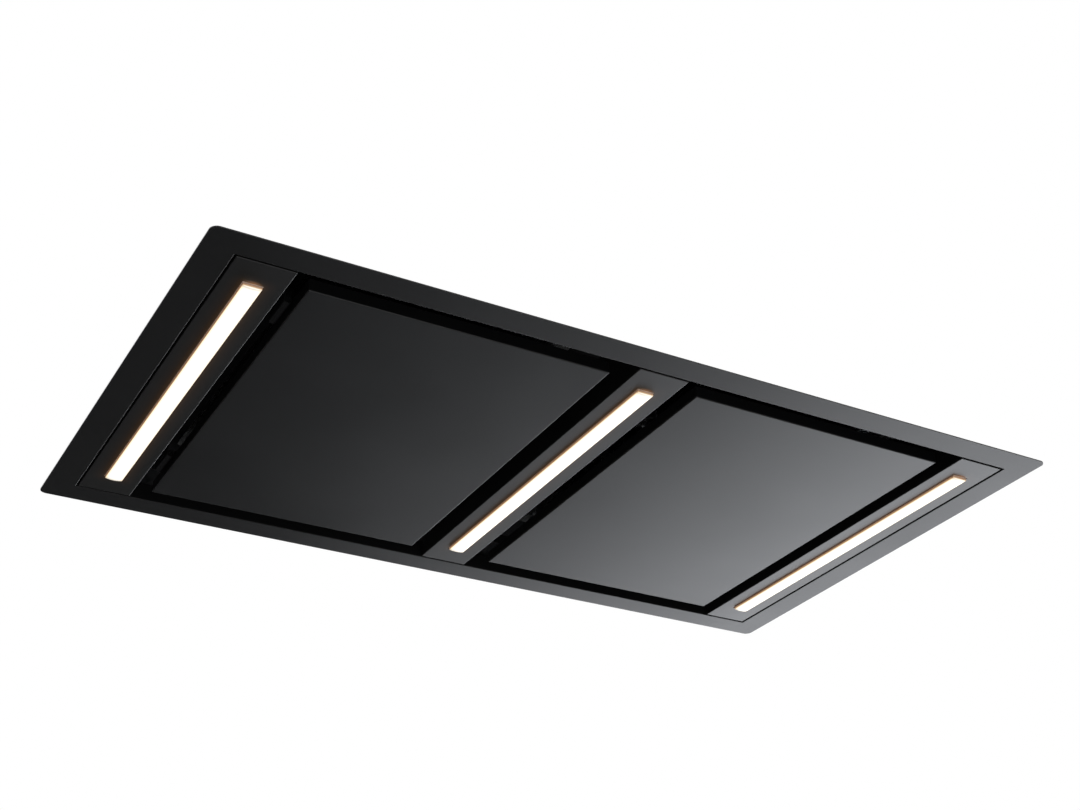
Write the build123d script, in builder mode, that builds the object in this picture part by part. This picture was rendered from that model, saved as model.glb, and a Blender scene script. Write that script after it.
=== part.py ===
from build123d import *
import os
from math import acos, degrees

os.makedirs("parts", exist_ok=True)

# Ceiling range hood. Millimetres, +Z up, X along the frame's length. The origin is the centre of the
# ceiling cut-out, in the plane of the ceiling's underside, where the frame's gasket seats.

# ---------------------------------------------------------------- driving dimensions

# Visible frame
frame_length = 1200.0
frame_width = 700.0
frame_corner_r = 10.0
frame_sheet = 1.5
opening_length = 1120.0
opening_width = 620.0
upstand_height = 24.0
frame_edge_r = 1.0

# Gasket between frame and ceiling
gasket_thickness = 2.0
gasket_width = 8.0
gasket_inset = 6.0

# Housing above the ceiling
body_sheet = 1.2
body_height = 290.0
body_fold_r = 3.0
lip_width = 18.0
seam = 0.25
bead_width = 16.0
bead_depth = 2.0
bead_length = 260.0
bead_pitch_x = 390.0
bead_pitch_y = 200.0
bead_columns = 3
return_width = 12.0

# Studs and nuts that hold the frame to the housing
stud_r = 2.5
stud_length = 12.0
stud_pitch_x = 300.0
stud_pitch_y = 400.0
stud_hole_r = 3.0
nut_flats = 8.0
nut_height = 4.0
nut_clearance = 0.1

# Deck that carries filters, lamp bars, hinges and catches
deck_height = 62.0
deck_sheet = 1.2
deck_rim = 15.0

# Lamp bars
bar_width = 71.5
bar_gap = 3.0
bar_sheet = 1.2
bar_edge_r = 1.0
bar_tab = 12.0
bar_screw_pitch = 500.0

# Lamp lenses and what is behind them
lens_width = 24.0
lens_length = 528.0
lens_gap = 0.7
lens_proud = 1.0
lens_edge_r = 0.8
lens_ledge = 4.0
lens_ledge_thickness = 2.0
tray_wall = 2.0
tray_wing = 9.0
tray_height = 16.0
tray_fin_height = 8.0
tray_fin_count = 5
tray_fin_thickness = 1.5
tray_fin_pitch = 7.0
board_width = 12.0
board_thickness = 1.6
led_count = 22
led_length = 3.5
led_width = 2.8
led_height = 0.8

# Suction panels
hinge_side_gap = 23.5
free_side_gap = 28.5
end_gap = 28.5
panel_sheet = 1.0
panel_depth = 16.0
panel_corner_r = 1.5
panel_edge_r = 1.4
panel_hem = 10.0
backing_sheet = 1.0

# Panel hinges
hinge_pitch = 420.0
hinge_length = 50.0
hinge_leaf = 1.5
knuckle_r = 5.0
knuckle_gap = 0.3
middle_knuckle = 21.4
hinge_pin_r = 2.5
pin_clearance = 0.05
hinge_standoff = 1.4
leaf_reach = 36.0
bracket_reach = 18.0
bracket_screw_inset = 5.0
cut_clearance = 0.6

# Panel catches
catch_pitch = 300.0
striker_inset = 9.0
striker_base = 16.0
striker_width = 12.0
striker_thickness = 2.0
striker_height = 26.0
striker_waist = 1.0
roller_r = 3.5
roller_axle_r = 1.5
roller_gap = 0.3
catch_cheek = 1.2
catch_half_depth = 7.0
catch_width = 34.0
catch_drop = 38.0
roller_height = 28.0

# Grease filters
filter_length = 348.0
filter_width = 488.0
filter_depth = 14.0
filter_wall = 1.5
filter_lip = 6.0
filter_border = 12.0
filter_clearance = 0.5
latch_bay = 46.0
mesh_sheet = 0.8
mesh_pitch_x = 32.0
mesh_pitch_y = 51.0
mesh_diamond_x = 25.0
mesh_diamond_y = 40.0
crimp_pitch = 16.0
hook_pitch = 300.0
hook_width = 30.0
hook_reach = 6.0

# Filter latches
latch_width = 36.0
latch_thickness = 2.0
latch_length = 30.0
latch_engagement = 6.0
latch_travel = 8.0
latch_clearance = 0.3
latch_stem = 3.0
latch_stem_inset = 18.0
latch_stem_width = 18.0
latch_pull_length = 16.0
latch_pull_width = 28.0
finger_gap = 6.5

# Blower
blower_x = -70.0
blower_y = -45.0
scroll_base = 102.0
scroll_height = 150.0
scroll_sheet = 1.0
scroll_flange = 5.0
spiral_start_r = 129.0
spiral_step = 22.0
tongue_x = 72.0
tongue_r = 8.0
outlet_reach = 190.0
inlet_r = 84.0
inlet_bell_r = 8.0
mount_tab_width = 30.0
mount_foot = 20.0
impeller_r = 100.0
impeller_inner_r = 82.0
impeller_height = 124.0
impeller_sheet = 1.2
impeller_shroud = 3.0
blade_count = 36
blade_thickness = 1.0
blade_bow = 3.0
blade_sweep = 10.0
hub_r = 16.0
hub_height = 26.0
hub_drop = 20.0
shaft_end = 6.0
shaft_r = 4.0
shaft_clearance = 0.04
shaft_hole_gap = 1.0
shaft_chamfer = 0.5
motor_r = 46.0
motor_wall = 2.5
motor_height = 78.0
motor_rise = 14.0
stator_bore_r = 25.0
stator_height = 38.0
rotor_gap = 0.5
bearing_r = 11.0
bearing_height = 7.0
bracket_ring = 12.0
bracket_sheet = 2.5
bracket_arm_width = 16.0
bracket_foot_r = 112.0

# Duct outlet and its damper
collar_r = 74.0
collar_wall = 1.8
collar_length = 60.0
collar_flange_r = 92.0
collar_flange = 3.0
collar_inside = 40.0
duct_sheet = 1.2
duct_overlap = 15.0
duct_clearance = 0.3
duct_corner_r = 1.0
duct_round_flat = 0.5
damper_offset = 24.0
damper_pin_r = 1.5
damper_knuckle_r = 3.4
damper_sheet = 1.2
damper_clearance = 1.0
damper_root = 4.6
damper_tab_overlap = 1.0
damper_bands = 4
stop_ledge = 3.0

# Electrics
box_length = 84.0
box_width = 280.0
box_height = 58.0
box_wall = 2.0
box_x = -506.0
box_y = 60.0
cable_hole_r = 6.0
lid_step = 12.0
board_standoff = 6.0
board_length = 74.0
board_breadth = 266.0
pillar_r = 3.0
capacitor_r = 8.0
capacitor_height = 26.0
capacitor_pitch = 21.0
capacitor_y = -66.0
driver_length = 60.0
driver_width = 180.0
driver_height = 32.0
driver_x = 505.0
driver_y = -10.0
driver_edge_r = 2.0
driver_foot = 12.0
driver_foot_sheet = 3.0

# Parts on the control board: place from its centre, length, width and height of each
transformer = (-14.0, 88.0, 36.0, 32.0, 30.0)
supply_filter = (20.0, 92.0, 24.0, 28.0, 20.0)
relay_a = (-18.0, 30.0, 18.0, 22.0, 16.0)
relay_b = (8.0, 30.0, 18.0, 22.0, 16.0)
terminal_row = (0.0, -112.0, 66.0, 22.0, 18.0)

# Cable gland
gland_y = -130.0
gland_z = 95.0
gland_bore_r = 5.0
gland_thread_r = 10.0
gland_flats = 24.0
gland_hex = 7.0
gland_locknut = 5.0
gland_dome = 14.0
gland_dome_r = 4.0

# Hanging brackets
hanger_pitch = 440.0
hanger_width = 60.0
hanger_sheet = 3.0
hanger_bottom = 200.0
hanger_top = 330.0
hanger_reach = 44.0
hanger_slot_r = 4.5
hanger_slot_length = 20.0
hanger_slot_inset = 20.0
hanger_screw_r = 3.0
hanger_screw_pitch = 30.0
hanger_hex_ratio = 1.6
hanger_adjust = 30.0
screw_clearance = 0.2

# Chassis screws
screw_r = 2.0
screw_head_r = 4.0
screw_head = 2.4
screw_length = 7.0

# ---------------------------------------------------------------- derived levels and places

frame_top_z = -gasket_thickness
face_z = frame_top_z - frame_sheet
sides = {"left": -1, "right": 1}

body_inner_length = opening_length + 2 * (frame_sheet + seam)
body_inner_width = opening_width + 2 * (frame_sheet + seam)
body_length = body_inner_length + 2 * body_sheet
body_width = body_inner_width + 2 * body_sheet
body_top_inner = body_height - body_sheet
wrapper_length = body_length - 2 * (body_sheet + seam)
deck_top = deck_height + deck_sheet

stud_row_x = body_length / 2 + lip_width / 2
stud_row_y = body_width / 2 + lip_width / 2
long_side_studs = [(k * stud_pitch_x, s * stud_row_y) for k in (-1.5, -0.5, 0.5, 1.5) for s in (-1, 1)]
short_side_studs = [(s * stud_row_x, k * stud_pitch_y) for s in (-1, 1) for k in (-0.5, 0.5)]

bar_length = opening_width - 2 * bar_gap
bar_height = deck_height - face_z
end_bar_x = opening_length / 2 - bar_gap - bar_width / 2
bar_places = {"left": -end_bar_x, "middle": 0.0, "right": end_bar_x}
bar_floor = face_z + bar_sheet

panel_outer_x = end_bar_x - bar_width / 2 - hinge_side_gap
panel_inner_x = bar_width / 2 + free_side_gap
panel_length = panel_outer_x - panel_inner_x
panel_width = opening_width - 2 * end_gap
panel_x = (panel_outer_x + panel_inner_x) / 2
backing_z = face_z + panel_depth
leaf_z = backing_z + backing_sheet

hinge_x = panel_outer_x + hinge_standoff + knuckle_r
hinge_z = leaf_z + hinge_leaf - knuckle_r
hinge_ys = (-hinge_pitch / 2, hinge_pitch / 2)
side_knuckle = (hinge_length - middle_knuckle) / 2 - knuckle_gap

striker_x = panel_inner_x + striker_inset
catch_ys = (-catch_pitch / 2, catch_pitch / 2)
roller_y = striker_width / 2 + roller_gap + roller_r

filter_x = panel_x
deck_opening_length = filter_length + 2 * filter_clearance
deck_opening_width = filter_width + 2 * filter_clearance
latch_z = deck_top + latch_clearance

blower_mid = scroll_base + scroll_height / 2
scroll_top = scroll_base + scroll_height
half_step = spiral_step / 2
outlet_outer_x = half_step + spiral_start_r + 3 * spiral_step
outlet_width = outlet_outer_x - tongue_x
outlet_x = blower_x + (outlet_outer_x + tongue_x) / 2
scroll_end_y = blower_y + outlet_reach
wall_y = body_width / 2
damper_y = wall_y + damper_offset


# ---------------------------------------------------------------- housing

# Top and both long sides are one folded sheet; its feet turn outward into a lip over the frame.
with BuildPart() as housing_wrapper:
    with BuildSketch(Plane.YZ) as wrapper_section:
        with Locations((0, (frame_top_z + body_height) / 2)):
            Rectangle(body_width, body_height - frame_top_z)
        fillet(wrapper_section.vertices().group_by(Axis.Y)[-1], body_fold_r)
        with Locations((0, (frame_top_z + body_top_inner) / 2)):
            Rectangle(body_inner_width, body_top_inner - frame_top_z, mode=Mode.SUBTRACT)
        with Locations((0, frame_top_z + body_sheet / 2)):
            Rectangle(body_width + 2 * lip_width, body_sheet)
            Rectangle(body_inner_width, body_sheet, mode=Mode.SUBTRACT)
    extrude(amount=wrapper_length / 2, both=True)
    # stiffening beads pressed outward along the top
    with BuildSketch(Plane.XY.offset(body_height)):
        with GridLocations(bead_pitch_x, bead_pitch_y, bead_columns, bead_columns):
            SlotOverall(bead_length, bead_width)
    extrude(amount=bead_depth)
    with BuildSketch(Plane.XY.offset(body_top_inner)):
        with GridLocations(bead_pitch_x, bead_pitch_y, bead_columns, bead_columns):
            SlotOverall(bead_length - 2 * body_sheet, bead_width - 2 * body_sheet)
    extrude(amount=bead_depth, mode=Mode.SUBTRACT)
    with Locations(*long_side_studs):
        with Locations((0, 0, frame_top_z + body_sheet)):
            Hole(stud_hole_r, depth=body_sheet)
    # hole for the duct collar in the rear wall
    with BuildSketch(Plane.XZ.offset(-wall_y - body_sheet)):
        with Locations((outlet_x, blower_mid)):
            Circle(collar_r + duct_clearance)
    extrude(amount=3 * body_sheet, mode=Mode.SUBTRACT)
housing_wrapper.part.label = "housing_wrapper"
export_step(housing_wrapper.part, "parts/housing_wrapper.step")

# Each end panel has returns that nest inside the wrapper, and the same lip at its foot.
hanger_screw_z = hanger_bottom + hanger_adjust
hanger_screws = [(s * hanger_pitch / 2 + k * hanger_screw_pitch, hanger_screw_z)
                 for s in (-1, 1) for k in (-0.5, 0.5)]
for side, s in sides.items():
    inner_face = s * body_inner_length / 2
    with BuildPart() as housing_end:
        with BuildSketch(Plane.YZ.offset(s * body_length / 2)) as end_outline:
            with Locations((0, (frame_top_z + body_height) / 2)):
                Rectangle(body_width, body_height - frame_top_z)
            fillet(end_outline.vertices().group_by(Axis.Y)[-1], body_fold_r)
        extrude(amount=-s * body_sheet)
        with BuildSketch(Plane.YZ.offset(inner_face)):
            with Locations((0, (deck_top + seam + body_top_inner - seam) / 2)):
                Rectangle(body_inner_width - 2 * seam, body_top_inner - deck_top - 2 * seam)
                Rectangle(body_inner_width - 2 * seam - 2 * body_sheet,
                          body_top_inner - deck_top - 2 * seam - 2 * body_sheet, mode=Mode.SUBTRACT)
        extrude(amount=-s * return_width)
        with BuildSketch(Plane.XY.offset(frame_top_z)):
            with Locations((s * (body_length + lip_width) / 2, 0)):
                Rectangle(lip_width, body_width + 2 * lip_width)
        extrude(amount=body_sheet)
        with Locations(*[place for place in short_side_studs if place[0] * s > 0]):
            with Locations((0, 0, frame_top_z + body_sheet)):
                Hole(stud_hole_r, depth=body_sheet)
        with BuildSketch(Plane.YZ.offset(inner_face - s * body_sheet)):
            with Locations(*hanger_screws):
                Circle(hanger_screw_r + screw_clearance)
            if side == "left":
                with Locations((gland_y, gland_z)):
                    Circle(gland_thread_r + screw_clearance)
        extrude(amount=s * 3 * body_sheet, mode=Mode.SUBTRACT)
    housing_end.part.label = f"housing_end_{side}"
    export_step(housing_end.part, f"parts/housing_end_{side}.step")

# ---------------------------------------------------------------- frame, gasket and nuts

with BuildPart() as flange_frame:
    with BuildSketch(Plane.XY.offset(face_z)):
        RectangleRounded(frame_length, frame_width, frame_corner_r)
        Rectangle(opening_length, opening_width, mode=Mode.SUBTRACT)
    extrude(amount=frame_sheet)
    with BuildSketch(Plane.XY.offset(face_z)):
        Rectangle(opening_length + 2 * frame_sheet, opening_width + 2 * frame_sheet)
        Rectangle(opening_length, opening_width, mode=Mode.SUBTRACT)
    extrude(amount=upstand_height)
    # the fold at the opening and the outer edge are slightly rounded
    face_edges = flange_frame.edges().group_by(Axis.Z)[0]
    fold_edges = face_edges.filter_by(GeomType.LINE).filter_by(
        lambda e: abs(e.center().X) < opening_length / 2 + 1 and abs(e.center().Y) < opening_width / 2 + 1)
    fillet(fold_edges, frame_edge_r)
    with Locations(*long_side_studs, *short_side_studs):
        with Locations((0, 0, frame_top_z)):
            Cylinder(stud_r, stud_length, align=(Align.CENTER, Align.CENTER, Align.MIN))
flange_frame.part.label = "flange_frame"
export_step(flange_frame.part, "parts/flange_frame.step")

gasket_outer_r = frame_corner_r - gasket_inset
with BuildPart() as flange_gasket:
    with BuildSketch(Plane.XY.offset(frame_top_z)):
        RectangleRounded(frame_length - 2 * gasket_inset, frame_width - 2 * gasket_inset, gasket_outer_r)
        Rectangle(frame_length - 2 * (gasket_inset + gasket_width),
                  frame_width - 2 * (gasket_inset + gasket_width), mode=Mode.SUBTRACT)
    extrude(amount=gasket_thickness)
flange_gasket.part.label = "flange_gasket"
export_step(flange_gasket.part, "parts/flange_gasket.step")

with BuildPart() as lip_nuts:
    with BuildSketch(Plane.XY.offset(frame_top_z + body_sheet)):
        with Locations(*long_side_studs, *short_side_studs):
            RegularPolygon(nut_flats / 2, 6, major_radius=False)
            Circle(stud_r + nut_clearance, mode=Mode.SUBTRACT)
    extrude(amount=nut_height)
lip_nuts.part.label = "lip_nuts"
export_step(lip_nuts.part, "parts/lip_nuts.step")

# ---------------------------------------------------------------- deck

filter_places = [(s * filter_x, 0) for s in sides.values()]
bar_screw_places = [(x, s * bar_screw_pitch / 2) for x in bar_places.values() for s in (-1, 1)]
hinge_screw_x = hinge_x + knuckle_r - bracket_reach + bracket_screw_inset
hinge_screw_places = [(s * hinge_screw_x, y + k * hinge_length / 4)
                      for s in sides.values() for y in hinge_ys for k in (-1, 1)]
catch_screw_places = [(s * striker_x, y + k * (catch_width / 2 - bracket_screw_inset))
                      for s in sides.values() for y in catch_ys for k in (-1, 1)]
deck_screw_places = bar_screw_places + hinge_screw_places + catch_screw_places

with BuildPart() as filter_deck:
    with BuildSketch(Plane.XY.offset(deck_height - deck_rim)):
        Rectangle(body_inner_length - 2 * seam, body_inner_width - 2 * seam)
    extrude(amount=deck_rim + deck_sheet)
    with BuildSketch(Plane.XY.offset(deck_height - deck_rim)):
        Rectangle(body_inner_length - 2 * seam - 2 * deck_sheet, body_inner_width - 2 * seam - 2 * deck_sheet)
    extrude(amount=deck_rim, mode=Mode.SUBTRACT)
    with BuildSketch(Plane.XY.offset(deck_height)):
        with Locations(*filter_places):
            Rectangle(deck_opening_length, deck_opening_width)
        with Locations(*deck_screw_places):
            Circle(screw_r + screw_clearance)
    extrude(amount=deck_sheet, mode=Mode.SUBTRACT)
filter_deck.part.label = "filter_deck"
export_step(filter_deck.part, "parts/filter_deck.step")

# ---------------------------------------------------------------- lamp bars

lens_half = lens_width / 2 + lens_ledge
tray_inner_half = lens_half + seam
web_z = bar_floor + tray_height

for place, x in bar_places.items():
    # Folded channel, open above, with tabs turned in under the deck.
    with BuildPart() as light_bar:
        with BuildSketch(Plane.XY.offset(face_z)):
            with Locations((x, 0)):
                Rectangle(bar_width, bar_length)
        extrude(amount=bar_height)
        fillet(light_bar.edges().filter_by(Axis.Z), bar_edge_r)
        fillet(light_bar.faces().sort_by(Axis.Z)[0].edges(), bar_edge_r)
        with BuildSketch(Plane.XY.offset(bar_floor)):
            with Locations((x, 0)):
                Rectangle(bar_width - 2 * bar_sheet, bar_length - 2 * bar_sheet)
        extrude(amount=bar_height, mode=Mode.SUBTRACT)
        with BuildSketch(Plane.XY.offset(deck_height - bar_sheet)):
            with Locations(*[(x, s * (bar_length / 2 - bar_tab - bar_sheet)) for s in (-1, 1)]):
                Rectangle(bar_width - 2 * bar_sheet, 2 * bar_tab)
            with Locations(*[(x, s * bar_screw_pitch / 2) for s in (-1, 1)]):
                Rectangle(bar_width - 2 * bar_sheet, 2 * bar_tab)
                Circle(screw_r + screw_clearance, mode=Mode.SUBTRACT)
        extrude(amount=bar_sheet)
        with BuildSketch(Plane.XY.offset(face_z)):
            with Locations((x, 0)):
                Rectangle(lens_width + 2 * lens_gap, lens_length + 2 * lens_gap)
        extrude(amount=bar_sheet, mode=Mode.SUBTRACT)
    light_bar.part.label = f"light_bar_{place}"
    export_step(light_bar.part, f"parts/light_bar_{place}.step")

    # Opal lens: its ledge lies on the channel's floor, its face stands a little proud of the slot.
    with BuildPart() as diffuser:
        with BuildSketch(Plane.XY.offset(face_z - lens_proud)):
            with Locations((x, 0)):
                Rectangle(lens_width, lens_length)
        extrude(amount=bar_floor - face_z + lens_proud)
        fillet(diffuser.faces().sort_by(Axis.Z)[0].edges(), lens_edge_r)
        with BuildSketch(Plane.XY.offset(bar_floor)):
            with Locations((x, 0)):
                Rectangle(2 * lens_half, lens_length + 2 * lens_ledge)
        extrude(amount=lens_ledge_thickness)
    diffuser.part.label = f"diffuser_{place}"
    export_step(diffuser.part, f"parts/diffuser_{place}.step")

    # Aluminium carrier: wings on the floor each side of the lens, a web above it, cooling fins on top.
    with BuildPart() as led_tray:
        with BuildSketch(Plane.XZ):
            with Locations((x, bar_floor + tray_wall / 2)):
                Rectangle(2 * (tray_inner_half + tray_wall + tray_wing), tray_wall)
            with Locations((x, bar_floor + (tray_height + tray_wall) / 2)):
                Rectangle(2 * (tray_inner_half + tray_wall), tray_height + tray_wall)
            with Locations((x, bar_floor + tray_height / 2)):
                Rectangle(2 * tray_inner_half, tray_height, mode=Mode.SUBTRACT)
            with Locations((x, web_z + tray_wall + tray_fin_height / 2)):
                with GridLocations(tray_fin_pitch, 1, tray_fin_count, 1):
                    Rectangle(tray_fin_thickness, tray_fin_height)
        extrude(amount=lens_length / 2 + lens_ledge, both=True)
    led_tray.part.label = f"led_tray_{place}"
    export_step(led_tray.part, f"parts/led_tray_{place}.step")

    # Light strip: a long board under the web, with a row of lamps.
    with BuildPart() as led_strip:
        with BuildSketch(Plane.XY.offset(web_z - board_thickness)):
            with Locations((x, 0)):
                Rectangle(board_width, lens_length - 2 * lens_ledge)
        extrude(amount=board_thickness)
        with BuildSketch(Plane.XY.offset(web_z - board_thickness)):
            with Locations((x, 0)):
                with GridLocations(1, lens_length / led_count, 1, led_count):
                    Rectangle(led_width, led_length)
        extrude(amount=-led_height)
    led_strip.part.label = f"led_strip_{place}"
    export_step(led_strip.part, f"parts/led_strip_{place}.step")

# ---------------------------------------------------------------- suction panels

for side, s in sides.items():
    # Visible tray: folded sheet with small bend radii and its rims turned in at the top.
    with BuildPart() as panel_tray:
        with BuildSketch(Plane.XY.offset(face_z)):
            with Locations((s * panel_x, 0)):
                Rectangle(panel_length, panel_width)
        extrude(amount=panel_depth)
        fillet(panel_tray.edges().filter_by(Axis.Z), panel_corner_r)
        fillet(panel_tray.faces().sort_by(Axis.Z)[0].edges(), panel_edge_r)
        with BuildSketch(Plane.XY.offset(face_z + panel_sheet)):
            with Locations((s * panel_x, 0)):
                Rectangle(panel_length - 2 * panel_sheet, panel_width - 2 * panel_sheet)
        extrude(amount=panel_depth - 2 * panel_sheet, mode=Mode.SUBTRACT)
        with BuildSketch(Plane.XY.offset(backing_z - panel_sheet)):
            with Locations((s * panel_x, 0)):
                Rectangle(panel_length - 2 * panel_hem, panel_width - 2 * panel_hem)
        extrude(amount=panel_sheet, mode=Mode.SUBTRACT)
    panel_tray.part.label = f"panel_tray_{side}"
    export_step(panel_tray.part, f"parts/panel_tray_{side}.step")

    # Backing sheet that closes the tray, stiffened by a shallow dished field.
    with BuildPart() as panel_backing:
        with BuildSketch(Plane.XY.offset(backing_z)):
            with Locations((s * panel_x, 0)):
                RectangleRounded(panel_length - 2 * panel_sheet, panel_width - 2 * panel_sheet, panel_corner_r)
        extrude(amount=backing_sheet)
        with BuildSketch(Plane.XY.offset(backing_z - bead_depth)):
            with Locations((s * panel_x, 0)):
                RectangleRounded(panel_length - 6 * panel_hem, panel_width - 3 * panel_hem, panel_hem)
        extrude(amount=bead_depth)
        with BuildSketch(Plane.XY.offset(leaf_z)):
            with Locations((s * panel_x, 0)):
                RectangleRounded(panel_length - 6 * panel_hem - 2 * backing_sheet,
                                 panel_width - 3 * panel_hem - 2 * backing_sheet, panel_hem - backing_sheet)
        extrude(amount=-bead_depth, mode=Mode.SUBTRACT)
    panel_backing.part.label = f"panel_backing_{side}"
    export_step(panel_backing.part, f"parts/panel_backing_{side}.step")

    # Moving hinge leaves, welded to the backing: a middle knuckle, a narrow neck and a wide leaf.
    neck_end = hinge_x - knuckle_r - cut_clearance
    leaf_end = panel_outer_x - leaf_reach
    with BuildPart() as panel_hinge:
        for y in hinge_ys:
            with BuildSketch(Plane.XY.offset(leaf_z)):
                with Locations((s * (hinge_x + neck_end) / 2, y)):
                    Rectangle(hinge_x - neck_end, middle_knuckle)
                with Locations((s * (neck_end + leaf_end) / 2, y)):
                    Rectangle(neck_end - leaf_end, hinge_length)
            extrude(amount=hinge_leaf)
            with BuildSketch(Plane.XZ.offset(-y)):
                with Locations((s * hinge_x, hinge_z)):
                    Circle(knuckle_r)
            extrude(amount=middle_knuckle / 2, both=True)
            with BuildSketch(Plane.XZ.offset(-y)):
                with Locations((s * hinge_x, hinge_z)):
                    Circle(hinge_pin_r + pin_clearance)
            extrude(amount=middle_knuckle / 2, both=True, mode=Mode.SUBTRACT)
    panel_hinge.part.label = f"panel_hinge_{side}"
    export_step(panel_hinge.part, f"parts/panel_hinge_{side}.step")

    # Strikers: a welded foot and a spade with a shallow waist that the catch rollers grip.
    with BuildPart() as panel_striker:
        for y in catch_ys:
            with BuildSketch(Plane.XY.offset(leaf_z)):
                with Locations((s * striker_x, y)):
                    RectangleRounded(striker_base, striker_base, panel_corner_r)
            extrude(amount=hinge_leaf)
            waist_z = roller_height
            with BuildSketch(Plane.YZ.offset(s * striker_x)) as spade:
                with Locations((y, leaf_z + striker_height / 2)):
                    Rectangle(striker_width, striker_height)
                fillet(spade.vertices().group_by(Axis.Y)[-1], striker_width / 4)
                with Locations(*[(y + k * (striker_width / 2 - striker_waist + roller_r), waist_z)
                                 for k in (-1, 1)]):
                    Circle(roller_r, mode=Mode.SUBTRACT)
            extrude(amount=striker_thickness / 2, both=True)
    panel_striker.part.label = f"panel_striker_{side}"
    export_step(panel_striker.part, f"parts/panel_striker_{side}.step")

# Fixed hinge brackets hang from the deck, with two knuckles each side of the moving one.
bracket_plate_x = hinge_x + knuckle_r
with BuildPart() as hinge_brackets:
    for s in sides.values():
        for y in hinge_ys:
            with BuildSketch(Plane.XZ.offset(-y)):
                with Locations((s * (bracket_plate_x - hinge_leaf / 2), (hinge_z + deck_height) / 2)):
                    Rectangle(hinge_leaf, deck_height - hinge_z)
                with Locations((s * (bracket_plate_x - bracket_reach / 2), deck_height - hinge_leaf / 2)):
                    Rectangle(bracket_reach, hinge_leaf)
                with Locations((s * hinge_x, hinge_z)):
                    Circle(knuckle_r)
            extrude(amount=hinge_length / 2, both=True)
            with BuildSketch(Plane.XZ.offset(-y)):
                with Locations((s * hinge_x, hinge_z)):
                    Circle(hinge_pin_r + pin_clearance)
            extrude(amount=hinge_length / 2, both=True, mode=Mode.SUBTRACT)
            with BuildSketch(Plane.XZ.offset(-y)):
                with Locations((s * hinge_x, hinge_z)):
                    Rectangle(2 * (knuckle_r + cut_clearance), 2 * (knuckle_r + cut_clearance))
            extrude(amount=hinge_length / 2 - side_knuckle, both=True, mode=Mode.SUBTRACT)
    with BuildSketch(Plane.XY.offset(deck_height)):
        with Locations(*hinge_screw_places):
            Circle(screw_r + screw_clearance)
    extrude(amount=-2 * hinge_leaf, mode=Mode.SUBTRACT)
hinge_brackets.part.label = "hinge_brackets"
export_step(hinge_brackets.part, "parts/hinge_brackets.step")

with BuildPart() as hinge_pins:
    for y in hinge_ys:
        with BuildSketch(Plane.XZ.offset(-y)):
            with Locations(*[(s * hinge_x, hinge_z) for s in sides.values()]):
                Circle(hinge_pin_r)
        extrude(amount=hinge_length / 2 + pin_clearance, both=True)
hinge_pins.part.label = "hinge_pins"
export_step(hinge_pins.part, "parts/hinge_pins.step")

# Roller catches: an inverted channel under the deck, and two rollers on axles between its cheeks.
with BuildPart() as panel_catches:
    for s in sides.values():
        for y in catch_ys:
            with BuildSketch(Plane.XZ.offset(-y)):
                for k in (-1, 1):
                    with Locations((s * striker_x + k * (catch_half_depth + catch_cheek / 2),
                                    deck_height - catch_drop / 2)):
                        Rectangle(catch_cheek, catch_drop)
                with Locations((s * striker_x, deck_height - catch_cheek / 2)):
                    Rectangle(2 * catch_half_depth + 2 * catch_cheek, catch_cheek)
            extrude(amount=catch_width / 2, both=True)
            for k in (-1, 1):
                with BuildSketch(Plane.YZ.offset(s * striker_x)):
                    with Locations((y + k * roller_y, roller_height)):
                        Circle(roller_axle_r + pin_clearance)
                extrude(amount=catch_half_depth + 2 * catch_cheek, both=True, mode=Mode.SUBTRACT)
                with BuildSketch(Plane.YZ.offset(s * striker_x)):
                    with Locations((y + k * roller_y, roller_height)):
                        Circle(roller_axle_r)
                extrude(amount=catch_half_depth + 2 * catch_cheek, both=True)
                with BuildSketch(Plane.YZ.offset(s * striker_x)):
                    with Locations((y + k * roller_y, roller_height)):
                        Circle(roller_r)
                extrude(amount=catch_half_depth - roller_gap, both=True)
    with BuildSketch(Plane.XY.offset(deck_height)):
        with Locations(*catch_screw_places):
            Circle(screw_r + screw_clearance)
    extrude(amount=-2 * catch_cheek, mode=Mode.SUBTRACT)
panel_catches.part.label = "panel_catches"
export_step(panel_catches.part, "parts/panel_catches.step")

# Pan-head screws up through bars, hinge brackets and catches into the deck.
screw_undersides = [(x, y, deck_height - bar_sheet) for x, y in bar_screw_places]
screw_undersides += [(x, y, deck_height - hinge_leaf) for x, y in hinge_screw_places]
screw_undersides += [(x, y, deck_height - catch_cheek) for x, y in catch_screw_places]
with BuildPart() as chassis_screws:
    with Locations(*screw_undersides):
        Cylinder(screw_r, screw_length, align=(Align.CENTER, Align.CENTER, Align.MIN))
        Cylinder(screw_head_r, screw_head, align=(Align.CENTER, Align.CENTER, Align.MAX))
chassis_screws.part.label = "chassis_screws"
export_step(chassis_screws.part, "parts/chassis_screws.step")

# ---------------------------------------------------------------- grease filters and their latches

window_length = filter_length - latch_bay - filter_border
window_width = filter_width - 2 * filter_border
window_shift = (latch_bay - filter_border) / 2
frame_top = deck_height + filter_depth
mesh_length = filter_length - latch_bay - filter_wall - 2 * seam
mesh_width = filter_width - 2 * filter_wall - 2 * seam
mesh_shift = (latch_bay - filter_wall) / 2
crimp_base = deck_height + mesh_sheet + seam / 2
crimp_rise = frame_top - filter_wall - seam / 2 - crimp_base - mesh_sheet
crimp_count = int(mesh_length / crimp_pitch)
mesh_columns = int(window_length / mesh_pitch_x)
mesh_rows = int(window_width / mesh_pitch_y)
bolt_tip = filter_length / 2 + filter_clearance + latch_engagement
stem_place = filter_length / 2 - latch_stem_inset
pull_z = deck_height - filter_wall - finger_gap - latch_thickness


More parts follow.
